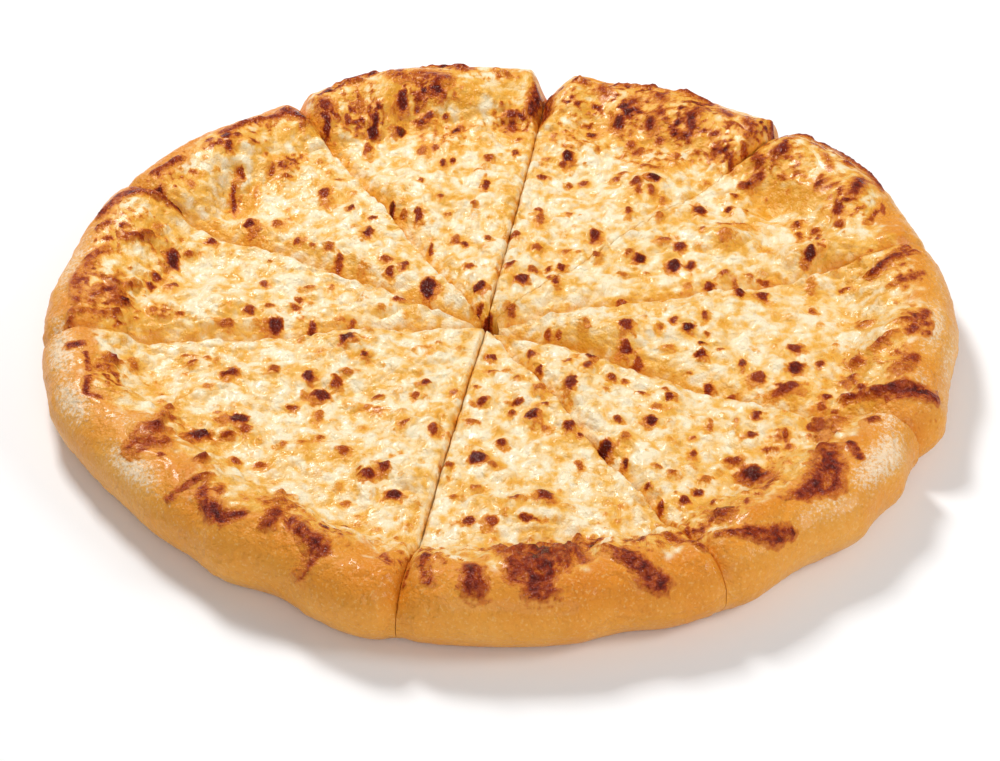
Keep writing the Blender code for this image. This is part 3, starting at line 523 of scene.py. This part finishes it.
FLOURY = (
    (193, 170, 8, 9, 1.0), (203, 172, 7, 9, 0.95), (211, 160, 6, 10, 0.60), (219, 172, 8, 9, 0.95),
    (226, 174, 6, 8, 0.40), (236, 175, 6, 6, 0.30), (222, 152, 5, 8, 0.45), (306, 172, 6, 6, 0.35),
    (20, 178, 16, 10, 0.55), (350, 178, 12, 9, 0.60), (315, 172, 8, 9, 0.60), (326, 171, 9, 10, 1.0),
    (333, 165, 5, 11, 0.75), (-6, 168, 9, 7, 0.85),
    (-18, 166, 7, 8, 0.60), (172, 171, 13, 8, 0.75), (38, 168, 10, 5, 0.4), (3, 172, 7, 6, 0.5),
    (186, 172, 5, 8, 0.7),
)
print("toasted zones:", len(TOASTED), "yellow faces:", len(SHADED_YELLOW_FACES), "floury zones:", len(FLOURY))

# %% [markdown]
# The melted look doesn't stop in a neat line. At the back it reaches over the crest, and at the
# front the bare golden crust comes up between the drips. Direction, then row in millimetres.

# %% How far the melted look reaches
MELT_REACH = (
    (4, 160), (12, 162), (20, 160), (28, 173), (36, 176), (44, 173), (50, 171), (58, 172), (66, 172),
    (74, 170), (81, 169), (88, 170), (95, 173), (103, 177), (110, 175), (118, 169), (126, 163), (132, 165),
    (138, 166), (144, 158), (150, 160), (156, 165), (163, 167), (170, 165), (176, 164), (182, 161),
    (186, 160), (192, 156), (199, 161), (206, 160), (212, 150), (218, 151), (224, 153), (230, 164),
    (236, 166), (240, 161), (246, 162), (250, 160), (254, 151), (258, 155), (262, 161), (268, 157),
    (273, 161), (279, 164), (286, 157), (290, 159), (297, 161), (303, 160), (309, 156), (315, 158),
    (321, 157), (327, 153), (333, 156), (338, 158), (343, 163), (350, 161), (356, 161),
)


def bare_share(degrees, row, ragged):
    """0 where the melted look is whole, 1 on bare crust, with a ragged border."""
    directions, rows = np.array(MELT_REACH, float).T
    border = MM * np.interp(degrees, directions, rows, period=360.0)
    return smooth((row - border + 0.0045 + 0.006 * ragged) / 0.0075)


reached = [row for _, row in MELT_REACH]
print("melted look reaches rows", min(reached), "to", max(reached), "mm")

# %% [markdown]
# ## From a level sheet to the top of the pizza
#
# The eye looked along a slope of about 37 degrees from almost a metre away, so a blister on high
# ground seems to lie farther back than it is. Each place is slid along that line of sight until
# it meets the top.

# %% Slide a place along the line of sight to the top
EYE_DISTANCE = 0.93414
EYE_SLOPE = math.radians(37.167)
EYE = EYE_DISTANCE * np.array([0.0, -math.cos(EYE_SLOPE), math.sin(EYE_SLOPE)])
SHEET_HEIGHT = 0.019
SLIDES = 14


def top_height(x, y):
    """The height of the melted top over a place, without the small lumps."""
    degrees = np.degrees(np.arctan2(y - CUT_CENTRE[1], x - CUT_CENTRE[0]))
    rho = np.hypot(x - CUT_CENTRE[0], y - CUT_CENTRE[1])
    ring = np.minimum(rho * RIM_RADIUS / reach(degrees), CREST_RADIUS)
    _, plain, _, _ = crust_section(ring)
    lift = sum_of_swells(degrees, RIM_LIFTS) * smooth((ring - SLOPE_START) / (CREST_RADIUS - SLOPE_START))
    height = plain + SKIN_GAP + cheese_thickness(ring)
    fall = fall_at_cuts(ring, rho, degrees) / (plain + cheese_thickness(ring))
    return height * (1.0 - fall) * (1.0 + (broad_relief(x, y) + lift) / plain)


def slide_to_top(x, y):
    """Where the line of sight through a place on the level sheet meets the top."""
    height = np.full_like(x, SHEET_HEIGHT)
    for _ in range(SLIDES):
        share = (height - SHEET_HEIGHT) / (EYE[2] - SHEET_HEIGHT)
        found_x = x + (EYE[0] - x) * share
        found_y = y + (EYE[1] - y) * share
        height += 0.5 * (top_height(found_x, found_y) - height)
    return found_x, found_y


def place_on_top(table):
    """A table of marks in metres, each slid to the top. The last column is a strength."""
    marks = np.array(table) * (MM, MM, MM, MM, 1.0)
    marks[:, 0], marks[:, 1] = slide_to_top(marks[:, 0].copy(), marks[:, 1].copy())
    return marks


blisters = place_on_top(FLOOR_BLISTERS)
shaded_faces_seen = place_on_top(SHADED_YELLOW_FACES)
print("first blister now at", np.round(blisters[0, :2] / MM, 1), "mm")

# %% [markdown]
# Between them the whole top is sprinkled with small pale blisters, drawn at random from one
# seed. They are spread evenly, and those near the rim are more toasted, as the rim bakes first.

# %% Small random blisters
SPRINKLED_OUT_TO = 0.158
draw = np.random.default_rng(41)
count = 900
ring = SPRINKLED_OUT_TO * np.sqrt(draw.random(count))
angle = 2.0 * math.pi * draw.random(count)
size = 0.0007 + 0.0016 * draw.random(count) ** 2
toast = 0.12 + 0.24 * draw.random(count) ** 1.5 + 0.30 * smooth((ring - 0.110) / 0.045) * draw.random(count)
small_blisters = np.stack(
    [ring * np.cos(angle), ring * np.sin(angle), size, size * (0.8 + 0.7 * draw.random(count)), toast], axis=1
)
print("small blisters:", count)


# %% [markdown]
# ## What each point knows
#
# For every point of a slice five things are worked out from its place: how browned it is, how
# oily and yellow (with painted shade near the cuts and on faces turned from the light), how floury,
# whether the bare crust shows, and how far the small relief raises it. Browning and relief come from
# the same blisters, so colour and shape agree.

# %% Blisters and streaks near a set of points
RIM_TURN = 0.166
NEAR_ALONG = 0.025
NEAR_UP = 0.030
HIGHEST_DOME = 0.0013


def add_blisters(x, y, wander, brown, halo, raised, table):
    """Darken and raise the points near each blister. The wander makes every outline uneven."""
    for cx, cy, wide, deep, dark in table:
        beside = (np.abs(x - cx) < 3.2 * wide + 0.002) & (np.abs(y - cy) < 3.2 * deep + 0.002)
        near = np.flatnonzero(beside)
        if len(near) == 0:
            continue
        away = np.hypot((x[near] - cx) / wide, (y[near] - cy) / deep)
        away = np.maximum(away + wander[near] * (0.22 + 0.2 * min(1.0, 0.002 / wide)), 0.0)
        lean = math.sin(9000.0 * (cx + 2.3 * cy))
        ring = np.hypot((x[near] - cx - 0.45 * wide * lean) / wide, (y[near] - cy + 0.25 * deep) / deep)
        ring = np.maximum(ring + 0.6 * wander[near], 0.0)
        core = dark * (1.0 - smooth((away - 0.52) / 0.66))
        orange = (0.14 + 0.30 * dark) * (1.0 - smooth((ring - 0.85) / 0.95))
        brown[near] = np.maximum(brown[near], np.maximum(core, orange))
        oily = min(0.85, 0.3 + 0.6 * dark) * (1.0 - smooth((ring - 0.7) / 1.5))
        halo[near] = np.maximum(halo[near], oily)
        dome = min(HIGHEST_DOME, 0.34 * min(wide, deep)) * bell(away / 1.5)
        raised[near] = np.maximum(raised[near], dome)


def add_streaks(degrees, row, wander, brown, halo, raised, table, proud):
    """Darken and raise the points near each streak that follows the rim."""
    for start, start_row, end, end_row, half_width, dark in table:
        along = np.radians(turn_between(degrees, start)) * RIM_TURN
        length = math.radians(end - start) * RIM_TURN
        up = row - MM * start_row
        rise = MM * (end_row - start_row)
        near = np.flatnonzero((np.abs(along) < NEAR_ALONG) & (np.abs(up) < NEAR_UP))
        if len(near) == 0:
            continue
        share = (along[near] * length + up[near] * rise) / (length**2 + rise**2 + 1e-12)
        share = np.clip(share, 0.0, 1.0)
        away = np.hypot(along[near] - share * length, up[near] - share * rise) / (MM * half_width)
        away = np.maximum(away + 0.62 * wander[near], 0.0)
        core = dark * (0.88 + 0.48 * wander[near]) * (1.0 - smooth((away - 0.80) / 0.50))
        orange = (0.20 + 0.32 * dark) * (1.0 - smooth((away - 1.2) / 1.2))
        brown[near] = np.maximum(brown[near], np.maximum(core, orange))
        oily = (0.3 + 0.5 * dark) * (1.0 - smooth((away - 0.8) / 1.8))
        halo[near] = np.maximum(halo[near], oily)
        ridge = proud * (1.0 + 0.55 * wander[near]) * bell(away / 1.7)
        raised[near] = np.maximum(raised[near], ridge)


def add_zones(degrees, row, table):
    """The strength of soft zones on the rim, each by direction, row and two half widths."""
    total = np.zeros_like(degrees)
    for centre, middle, half_width, half_height, strength in table:
        along = turn_between(degrees, centre) / half_width
        away = np.hypot(along, (row - MM * middle) / (MM * half_height))
        total = np.maximum(total, strength * bell(away / 1.35))
    return total


# %% Everything that a point knows
MARGIN = 0.012
STREAK_HEIGHT = 0.0019
BACK_STREAK_HEIGHT = 0.0022


def near_points(table, x, y):
    """The blisters that lie over a set of points or close beside it."""
    beside_x = (table[:, 0] > x.min() - MARGIN) & (table[:, 0] < x.max() + MARGIN)
    beside_y = (table[:, 1] > y.min() - MARGIN) & (table[:, 1] < y.max() + MARGIN)
    return table[beside_x & beside_y]


def look_of(points, degrees, row, fall):
    """Browned, oily with painted shade, floury, bare and raised, for points of the plain form."""
    x, y = points[:, 0], points[:, 1]
    coarse = lumps(points, 0.0120, 1)
    middle = lumps(points, 0.0058, 2)
    fine = lumps(points, 0.0028, 3)
    tiny = lumps(points, 0.0016, 4)
    wander = 0.9 * fine + 0.5 * tiny + 0.5 * middle
    brown = np.zeros(len(points))
    halo = np.zeros(len(points))
    raised = np.zeros(len(points))
    for table in (small_blisters, blisters):
        add_blisters(x, y, wander, brown, halo, raised, near_points(table, x, y))
    for table, proud in ((RIM_STREAKS, STREAK_HEIGHT), (BACK_STREAKS, BACK_STREAK_HEIGHT)):
        add_streaks(degrees, row, wander, brown, halo, raised, table, proud)
    # Painted shade: tight faces turned from the light get extra dark yellow; they are also smoother.
    tight_and_shaded = np.zeros(len(points))
    for cx, cy, wide, deep, strength in shaded_faces_seen:
        tight_and_shaded = np.maximum(tight_and_shaded, strength * bell(np.hypot((x - cx) / wide, (y - cy) / deep) / 1.3))
    toasted = add_zones(degrees, row, TOASTED)
    mottle = np.clip(0.52 + 0.95 * fine + 0.70 * middle + 0.60 * tiny, 0.0, 1.6)
    brown = np.maximum(brown, 1.25 * toasted * mottle * (1.0 - 0.6 * tight_and_shaded))
    # Painted shade: darker amber where a slice sinks towards a cut, on slopes that face the eye and turn from
    # the light.
    shade_near_cut = smooth(fall / 0.006)
    slope = smooth((row - 0.118) / 0.034)
    curds = np.abs(lumps(points, 0.0075, 6)) + 0.5 * np.abs(lumps(points, 0.0042, 7))
    oil = 0.52 + 0.30 * coarse + 0.30 * middle + 0.30 * fine - 0.55 * curds
    oil += 0.50 * halo + 0.50 * tight_and_shaded + 0.26 * shade_near_cut + 0.14 * slope + 0.5 * toasted
    flour = add_zones(degrees, row, FLOURY)
    calm = 1.0 - 0.75 * tight_and_shaded
    broad = lumps(points, 0.0220, 8)
    relief = 0.0011 * broad + 0.0008 * coarse + 0.0021 * (curds - 0.45)
    relief = calm * (relief + 0.00030 * fine + 0.00012 * tiny) + raised
    look = {"brown": brown, "oil": oil, "flour": flour, "relief": relief, "raised": raised}
    look["bare"] = bare_share(degrees, row, middle + 0.7 * fine)
    return look


print("relief lumps: 12, 5.8, 2.8 and 1.6 mm")


# %% [markdown]
# ## One slice, from a circle to its place
#
# A slice of a round is a profile that is spun through an angle. A circle gives the closed
# outline, its points are opened out to the section of the crust or of the cheese, and the spin
# tool sweeps it through the slice. The rows then go to their places on the uneven round.

# %% The two sections
def crust_shape(row, level, relief):
    """A slice of crust in section: level -1 is its flat base, level 1 its top."""
    radius, height, outward, upward = crust_section(row)
    low = smooth((LOWEST_ROW - row) / 0.004)
    radius = radius + outward * relief * low
    height = height + upward * relief * low
    return np.where(level > 0.0, radius, row), np.where(level > 0.0, height, 0.0)


def cheese_shape(row, level, relief):
    """A slice of cheese in section: level 0 is its underside, level 1 its top."""
    radius, height, outward, upward = crust_section(row)
    proud = SKIN_GAP + level * cheese_thickness(row) + relief
    return radius + outward * proud, height + upward * proud


def place_points(template, across, level, start, sweep, shape, relief):
    """Take the points of a spun template to their places in the pizza."""
    share = across - COLUMN_CROWDING * np.sin(2.0 * math.pi * across) / (2.0 * math.pi)
    degrees = start + sweep * share
    row = np.where(level < 0.0, template, follow_edge(template, degrees))
    radius, height = shape(row, level, relief)
    rho = radius * reach(degrees) / RIM_RADIUS
    half_kerf = np.degrees(np.arcsin(0.5 * KERF / rho))
    degrees = start + half_kerf + (sweep - 2.0 * half_kerf) * share
    x = CUT_CENTRE[0] + rho * np.cos(np.radians(degrees))
    y = CUT_CENTRE[1] + rho * np.sin(np.radians(degrees))
    _, plain, _, _ = crust_section(np.minimum(row, CREST_RADIUS))
    drop = fall_at_cuts(row, rho, degrees)
    lift = sum_of_swells(degrees, RIM_LIFTS) * smooth((row - SLOPE_START) / (CREST_RADIUS - SLOPE_START))
    stretch = (1.0 - drop / (plain + cheese_thickness(row))) * (1.0 + (broad_relief(x, y) + lift) / plain)
    return np.stack([x, y, height * stretch], axis=1), degrees, row, drop


# %% Spin a profile
def spin_profile(name, profile, sweep, steps):
    """Open a filled circle out to a section and spin it through the angle of a slice."""
    bpy.ops.object.select_all(action="DESELECT")
    bpy.ops.mesh.primitive_circle_add(vertices=len(profile), radius=0.1, fill_type="NGON")
    piece = bpy.context.active_object
    piece.name = name
    piece.data.name = name
    for vert, (row, level) in zip(piece.data.vertices, profile):
        vert.co = (row, 0.0, level)
    bpy.ops.object.mode_set(mode="EDIT")
    bpy.ops.mesh.select_all(action="SELECT")
    turn = math.radians(sweep)
    bpy.ops.mesh.spin(steps=steps, dupli=False, angle=turn, center=(0, 0, 0), axis=(0, 0, 1))
    bpy.ops.object.mode_set(mode="OBJECT")
    return piece


def points_of(piece):
    """The points of a mesh as an array."""
    flat = np.empty(len(piece.data.vertices) * 3, np.float32)
    piece.data.vertices.foreach_get("co", flat)
    return flat.reshape(-1, 3).astype(float)


def remember(piece, name, values):
    """Keep one number for each point, for the material to read."""
    attribute = piece.data.attributes.new(name, "FLOAT", "POINT")
    attribute.data.foreach_set("value", values.astype(np.float32))


# %% Rows of points
BASE_STEP = 0.020
SIDE_STEP = 0.0008
COVERED_ROW = 0.145
UNDERSIDE_ROW = 0.150
CRUST_COLUMNS = 3.2
CHEESE_COLUMNS = 3.9


def even_rows(first, last, step):
    """Rows an even step apart, inwards or outwards, with both ends."""
    return list(np.linspace(first, last, round(abs(last - first) / step) + 1))


def crust_profile():
    """Row and level round the crust: base, outer side, crest, then the covered floor."""
    base = [(row, -1.0) for row in even_rows(TIP_RADIUS, BASE_RADIUS, BASE_STEP)]
    side = even_rows(LOWEST_ROW, CHEESE_ROW, SIDE_STEP)
    under = list(np.linspace(CHEESE_ROW, COVERED_ROW, 12))[1:]
    floor = list(np.linspace(COVERED_ROW, TIP_RADIUS, 22))[1:]
    return base + [(row, 1.0) for row in side + under + floor]


def cheese_profile():
    """Row and level of the closed outline of the cheese: underside out, top back in."""
    under = list(np.linspace(TIP_RADIUS, UNDERSIDE_ROW, 24))
    under += list(np.linspace(UNDERSIDE_ROW, CHEESE_ROW, 9))[1:]
    top = list(np.linspace(CHEESE_ROW, EVEN_ROW, 78))[:-1] + list(np.linspace(EVEN_ROW, TIP_RADIUS, 104))
    return [(row, 0.0) for row in under] + [(row, 1.0) for row in top]


print("crust rows:", len(crust_profile()), "cheese rows:", len(cheese_profile()))


# %% One crust and one cheese
SOFTENING = 0.0006
CEILING = cad_box[1][2] - SOFTENING - 0.0001


def finish_mesh(piece, places):
    """Put the points in place under the ceiling, turn the faces outwards and shade them smooth."""
    above = np.maximum(places[:, 2] - CEILING, 0.0)
    places[:, 2] += SOFTENING * (1.0 - np.exp(-above / SOFTENING)) - above
    piece.data.vertices.foreach_set("co", places.astype(np.float32).ravel())
    piece.data.update()
    bpy.ops.object.select_all(action="DESELECT")
    piece.select_set(True)
    bpy.context.view_layer.objects.active = piece
    bpy.ops.object.mode_set(mode="EDIT")
    bpy.ops.mesh.select_all(action="SELECT")
    bpy.ops.mesh.normals_make_consistent(inside=False)
    bpy.ops.object.mode_set(mode="OBJECT")
    bpy.ops.object.shade_smooth_by_angle(angle=math.radians(60.0))


def template_of(piece, sweep):
    """Row, share across the slice and level of each point of a spun template."""
    points = points_of(piece)
    across = np.abs(np.degrees(np.arctan2(points[:, 1], points[:, 0]))) / sweep
    return np.hypot(points[:, 0], points[:, 1]), np.clip(across, 0.0, 1.0), points[:, 2]


def remember_look(piece, look, side, bare):
    """Keep what each point knows for the finish: browned, oily with painted shade, floury, low on the side,
    bare.
    """
    for name in ("brown", "oil", "flour"):
        remember(piece, name, look[name])
    remember(piece, "side", side)
    remember(piece, "bare", bare)


def make_crust(number, start, sweep):
    """The crust of one slice, with fine bubbly relief where it shows."""
    columns = round(sweep * CRUST_COLUMNS)
    piece = spin_profile(f"crust_slice_{number}", crust_profile(), sweep, columns)
    template, across, level = template_of(piece, sweep)
    plain, degrees, row, fall = place_points(template, across, level, start, sweep, crust_shape, 0.0)
    look = look_of(plain, degrees, row, fall)
    bare = smooth((row - cheese_edge(degrees) - 0.0005) / 0.006) * (level > 0.0)
    side = smooth((row - CREST_RADIUS) / 0.012)
    relief = bare * (look["relief"] * (0.55 - 0.27 * side) + 0.35 * look["raised"] - 0.0004)
    places, _, _, _ = place_points(template, across, level, start, sweep, crust_shape, relief)
    finish_mesh(piece, places)
    low = np.where(level > 0.0, smooth((row - 0.166) / 0.026), 1.0)
    remember_look(piece, look, low, np.where(level > 0.0, look["bare"], 1.0))
    return piece


def make_cheese(number, start, sweep):
    """The cheese of one slice, lumpy on top and thinning out at its edge."""
    columns = round(sweep * CHEESE_COLUMNS)
    piece = spin_profile(f"cheese_slice_{number}", cheese_profile(), sweep, columns)
    template, across, level = template_of(piece, sweep)
    plain, degrees, row, fall = place_points(template, across, level, start, sweep, cheese_shape, 0.0)
    look = look_of(plain, degrees, row, fall)
    edge = cheese_edge(degrees)
    fringe = smooth((row - edge + 0.0105) / 0.0105)
    thick = cheese_thickness(row)
    relief = look["relief"] * (1.0 - 0.4 * smooth((row - 0.150) / 0.010)) * (1.0 - fringe)
    relief = relief - fringe * (thick + 0.0006)
    relief = np.where(level > 0.5, relief, -0.0010 * smooth((row - edge + 0.005) / 0.005))
    places, _, _, _ = place_points(template, across, level, start, sweep, cheese_shape, relief)
    finish_mesh(piece, places)
    remember_look(piece, look, smooth((row - 0.166) / 0.026), look["bare"])
    return piece


# %% [markdown]
# ## Finishes
#
# A finish is built from nodes. A small class wraps a socket, so that plain arithmetic adds the
# Math nodes, and one method adds any other node. The finishes read the object's own coordinates
# and the numbers that each point remembers.

# %% A finish under construction
class Field:
    """A value that changes over the surface. Arithmetic on it adds Math nodes."""

    def __init__(self, finish, socket):
        self.finish = finish
        self.socket = socket

    def math(self, operation, first, second):
        return self.finish.node("ShaderNodeMath", {"operation": operation}, {0: first, 1: second})

    def __add__(self, other):
        return self.math("ADD", self, other)

    def __radd__(self, other):
        return self.math("ADD", other, self)

    def __sub__(self, other):
        return self.math("SUBTRACT", self, other)

    def __rsub__(self, other):
        return self.math("SUBTRACT", other, self)

    def __mul__(self, other):
        return self.math("MULTIPLY", self, other)

    def __rmul__(self, other):
        return self.math("MULTIPLY", other, self)


class Finish:
    """A material whose nodes are added one by one."""

    def __init__(self, name):
        self.material = bpy.data.materials.new(name)
        self.material.use_nodes = True
        self.tree = self.material.node_tree
        self.shader = self.tree.nodes["Principled BSDF"]
        self.place = self.node("ShaderNodeTexCoord", output="Object")

    def node(self, kind, settings=None, inputs=None, output=0):
        """Add a node: its settings first, then its sockets, and give back one output."""
        node = self.tree.nodes.new(kind)
        for name, value in (settings or {}).items():
            if name == "stops":
                self.set_stops(node.color_ramp, value)
            else:
                setattr(node, name, value)
        for key, value in (inputs or {}).items():
            self.feed(node.inputs[key], value)
        return Field(self, node.outputs[output])

    def feed(self, socket, value):
        """Link a field to a socket, or set a plain value on it."""
        if isinstance(value, Field):
            self.tree.links.new(value.socket, socket)
        else:
            socket.default_value = value

    def set_stops(self, ramp, stops):
        """The stops of a colour ramp, as place and colour."""
        while len(ramp.elements) < len(stops):
            ramp.elements.new(0.5)
        for element, (position, colour) in zip(ramp.elements, stops):
            element.position = position
            element.color = (*colour, 1.0)

    def known(self, name):
        """A number that each point remembers."""
        return self.node("ShaderNodeAttribute", {"attribute_name": name}, output="Fac")

    def noise(self, size, detail=2.0, roughness=0.5):
        """Soft noise about one size across, around 0."""
        inputs = {"Vector": self.place, "Scale": 1.0 / size, "Detail": detail, "Roughness": roughness}
        return self.node("ShaderNodeTexNoise", {}, inputs) - 0.5

    def ramp(self, value, stops):
        """A colour for each value between 0 and 1."""
        return self.node("ShaderNodeValToRGB", {"stops": stops}, {"Fac": value})

    def blend(self, share, under, over):
        """One colour over another."""
        return self.node("ShaderNodeMix", {"data_type": "RGBA"}, {0: share, 6: under, 7: over}, 2)

    def ease(self, value, low, high):
        """A soft step from 0 at the low value to 1 at the high one."""
        settings = {"interpolation_type": "SMOOTHSTEP"}
        return self.node("ShaderNodeMapRange", settings, {"Value": value, "From Min": low, "From Max": high})

    def bump(self, height, distance, below=None):
        """Fine relief on top of the modelled one."""
        inputs = {"Height": height, "Distance": distance}
        if below is not None:
            inputs["Normal"] = below
        return self.node("ShaderNodeBump", {}, inputs)


# %% [markdown]
# Scorching runs through the same colours on cheese and on crust: yellow-orange, orange,
# red-brown, then nearly black.

# %% The colours of scorching
SCORCH_STOPS = (
    (0.0, (0.88, 0.53, 0.14)),
    (0.22, (0.85, 0.385, 0.040)),
    (0.42, (0.68, 0.205, 0.016)),
    (0.60, (0.44, 0.070, 0.005)),
    (0.80, (0.24, 0.020, 0.002)),
    (1.0, (0.095, 0.005, 0.0005)),
)
BAKED_STOPS = (
    (0.0, (0.84, 0.43, 0.095)),
    (0.30, (0.80, 0.33, 0.038)),
    (0.60, (0.74, 0.245, 0.014)),
    (1.0, (0.52, 0.112, 0.005)),
)


def crust_colour(finish, brown, flour, side, fine):
    """Golden crust with fine pale bubbles and patches of deeper bake, floury or scorched in places."""
    patches = finish.noise(0.030, 3.0)
    bake = 0.54 - 0.30 * side - 0.40 * flour + 0.75 * patches + 0.30 * fine
    baked = finish.ramp(bake, BAKED_STOPS)
    bubbles = finish.ease(finish.noise(0.0011, 1.0), 0.08, 0.22)
    bubbly = finish.blend(0.34 * bubbles, baked, (0.92, 0.60, 0.22, 1.0))
    dust = finish.noise(0.0014, 3.0, 0.75)
    dusted = finish.ease(flour + 2.4 * dust, 0.45, 1.10)
    floury = finish.blend(0.80 * dusted, bubbly, (0.93, 0.76, 0.55, 1.0))
    scorch = finish.ramp(brown + 0.30 * fine, SCORCH_STOPS)
    return finish.blend(finish.ease(brown + 0.25 * fine, 0.20, 0.42), floury, scorch)


# %% [markdown]
# Melted cheese is cream where its curds stand up, amber where the oil gathers between them, and
# it toasts to orange round each blister. Two separate finishes would show a seam at the edge of
# the cheese, so both pieces share one recipe, and each point says how bare the crust is there.

# %% The colour of the whole top
MELT_STOPS = (
    (0.05, (0.94, 0.80, 0.54)),
    (0.36, (0.91, 0.63, 0.29)),
    (0.62, (0.87, 0.47, 0.090)),
    (1.0, (0.77, 0.33, 0.022)),
)


def top_finish(name, coat):
    """Melted cheese that passes into bare crust, the same on both pieces, so that no seam shows."""
    finish = Finish(name)
    brown = finish.known("brown")
    fine = finish.noise(0.0013, 2.0, 0.6)
    curd = finish.noise(0.0034, 2.0, 0.55)
    # The melt colour also carries painted shade: darker amber near the cuts and on faces turned from the
    # light.
    melt = finish.ramp(finish.known("oil") + 0.75 * curd + 0.35 * fine, MELT_STOPS)
    toast = finish.ease(brown + 0.42 * fine + 0.30 * curd, 0.10, 0.34)
    melted = finish.blend(toast, melt, finish.ramp(brown + 0.42 * fine + 0.12 * curd, SCORCH_STOPS))
    golden = crust_colour(finish, brown, finish.known("flour"), finish.known("side"), fine)
    colour = finish.blend(finish.known("bare"), melted, golden)
    finish.feed(finish.shader.inputs["Base Color"], colour)
    dull = 0.30 + 0.14 * finish.known("bare") + 0.22 * curd
    marked = finish.ease(brown, 0.25, 0.60)
    finish.feed(finish.shader.inputs["Roughness"], dull - 0.16 * marked)
    finish.feed(finish.shader.inputs["Coat Weight"], coat * (1.0 - marked))
    relief = finish.bump(curd * (1.0 + 0.8 * marked), 0.0011)
    pitted = finish.bump(fine * (1.0 + 1.4 * marked), 0.0006, relief)
    finish.feed(finish.shader.inputs["Normal"], pitted)
    finish.shader.inputs["Subsurface Weight"].default_value = 0.05
    finish.shader.inputs["Subsurface Radius"].default_value = (1.0, 0.55, 0.2)
    finish.shader.inputs["Subsurface Scale"].default_value = 0.0016
    finish.shader.inputs["Specular IOR Level"].default_value = 0.22
    finish.shader.inputs["Coat Roughness"].default_value = 0.10
    return finish


# %% The two finishes
cheese = top_finish("melted_cheese_baked", 0.17)
crust = top_finish("pan_crust_baked", 0.15)
print("finishes:", cheese.material.name, "and", crust.material.name)
print("nodes in each:", len(cheese.tree.nodes))

# %% [markdown]
# ## All nine slices
#
# Each slice runs from its cut to the next one, counterclockwise. It rides on the one body of the
# pizza and stands for its two plain solids.

# %% Make the slices
directions = [cut[0] for cut in CUTS]
triangles = 0
for number, start in enumerate(directions, 1):
    sweep = (directions[number % len(directions)] - start) % 360.0
    for piece, node, finish, slot in (
        (make_crust(number, start, sweep), f"crust_{number}", crust, "crust"),
        (make_cheese(number, start, sweep), f"cheese_{number}", cheese, "cheese"),
    ):
        piece.data.materials.append(finish.material)
        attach(piece, "root")
        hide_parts(node)
        triangles += sum(len(face.vertices) - 2 for face in piece.data.polygons)
print("triangles in all:", triangles)

# %% [markdown]
# ## Floor, light and camera
#
# A plain pale floor carries the pizza. Soft light comes from above and a little behind, so the
# near edges of the cuts shine and the slopes that face the eye stay deeper in colour.

# %% The floor
bpy.ops.object.select_all(action="DESELECT")
bpy.ops.mesh.primitive_plane_add(size=8.0, location=(0, 0, 0))
floor = bpy.context.active_object
floor.name = "pale_floor"
pale = Finish("pale_floor")
paint = pale.blend(0.02 * pale.noise(0.4), (0.93, 0.93, 0.93, 1), (0.9, 0.9, 0.9, 1))
pale.feed(pale.shader.inputs["Base Color"], paint)
pale.shader.inputs["Roughness"].default_value = 0.9
floor.data.materials.append(pale.material)


# %% The lights
def add_light(name, location, size, power):
    """A soft square light that faces the pizza."""
    lamp = bpy.data.lights.new(name, "AREA")
    lamp.shape = "SQUARE"
    lamp.size = size
    lamp.energy = power
    light = bpy.data.objects.new(name, lamp)
    bpy.context.collection.objects.link(light)
    light.location = location
    light.rotation_euler = (Vector((0, 0, 0.01)) - Vector(location)).to_track_quat("-Z", "Y").to_euler()


add_light("window_behind", (-0.45, 0.80, 1.10), 0.34, 16.5)
add_light("window_side", (0.95, -0.25, 0.75), 0.40, 4.6)
add_light("fill_front", (0.05, -1.25, 0.85), 0.8, 6.2)
world = bpy.data.worlds.new("studio")
world.use_nodes = True
backdrop = world.node_tree.nodes["Background"]
backdrop.inputs["Color"].default_value = (1.0, 1.0, 1.0, 1.0)
backdrop.inputs["Strength"].default_value = 0.25
bpy.context.scene.world = world
bpy.context.scene.view_settings.view_transform = "Standard"

# %% The camera
AIM = Vector((-0.00023, -0.00839, -0.01107))
ROLL = math.radians(0.549)
lens = bpy.data.cameras.new("eye")
lens.lens = 85.08
lens.sensor_width = 36.0
eye = bpy.data.objects.new("eye", lens)
bpy.context.collection.objects.link(eye)
eye.location = EYE
sight = AIM - eye.location
eye.rotation_mode = "QUATERNION"
eye.rotation_quaternion = sight.to_track_quat("-Z", "Y") @ Quaternion((0, 0, 1), ROLL)
bpy.context.scene.camera = eye
print("camera", round(eye.location.length, 3), "m away")
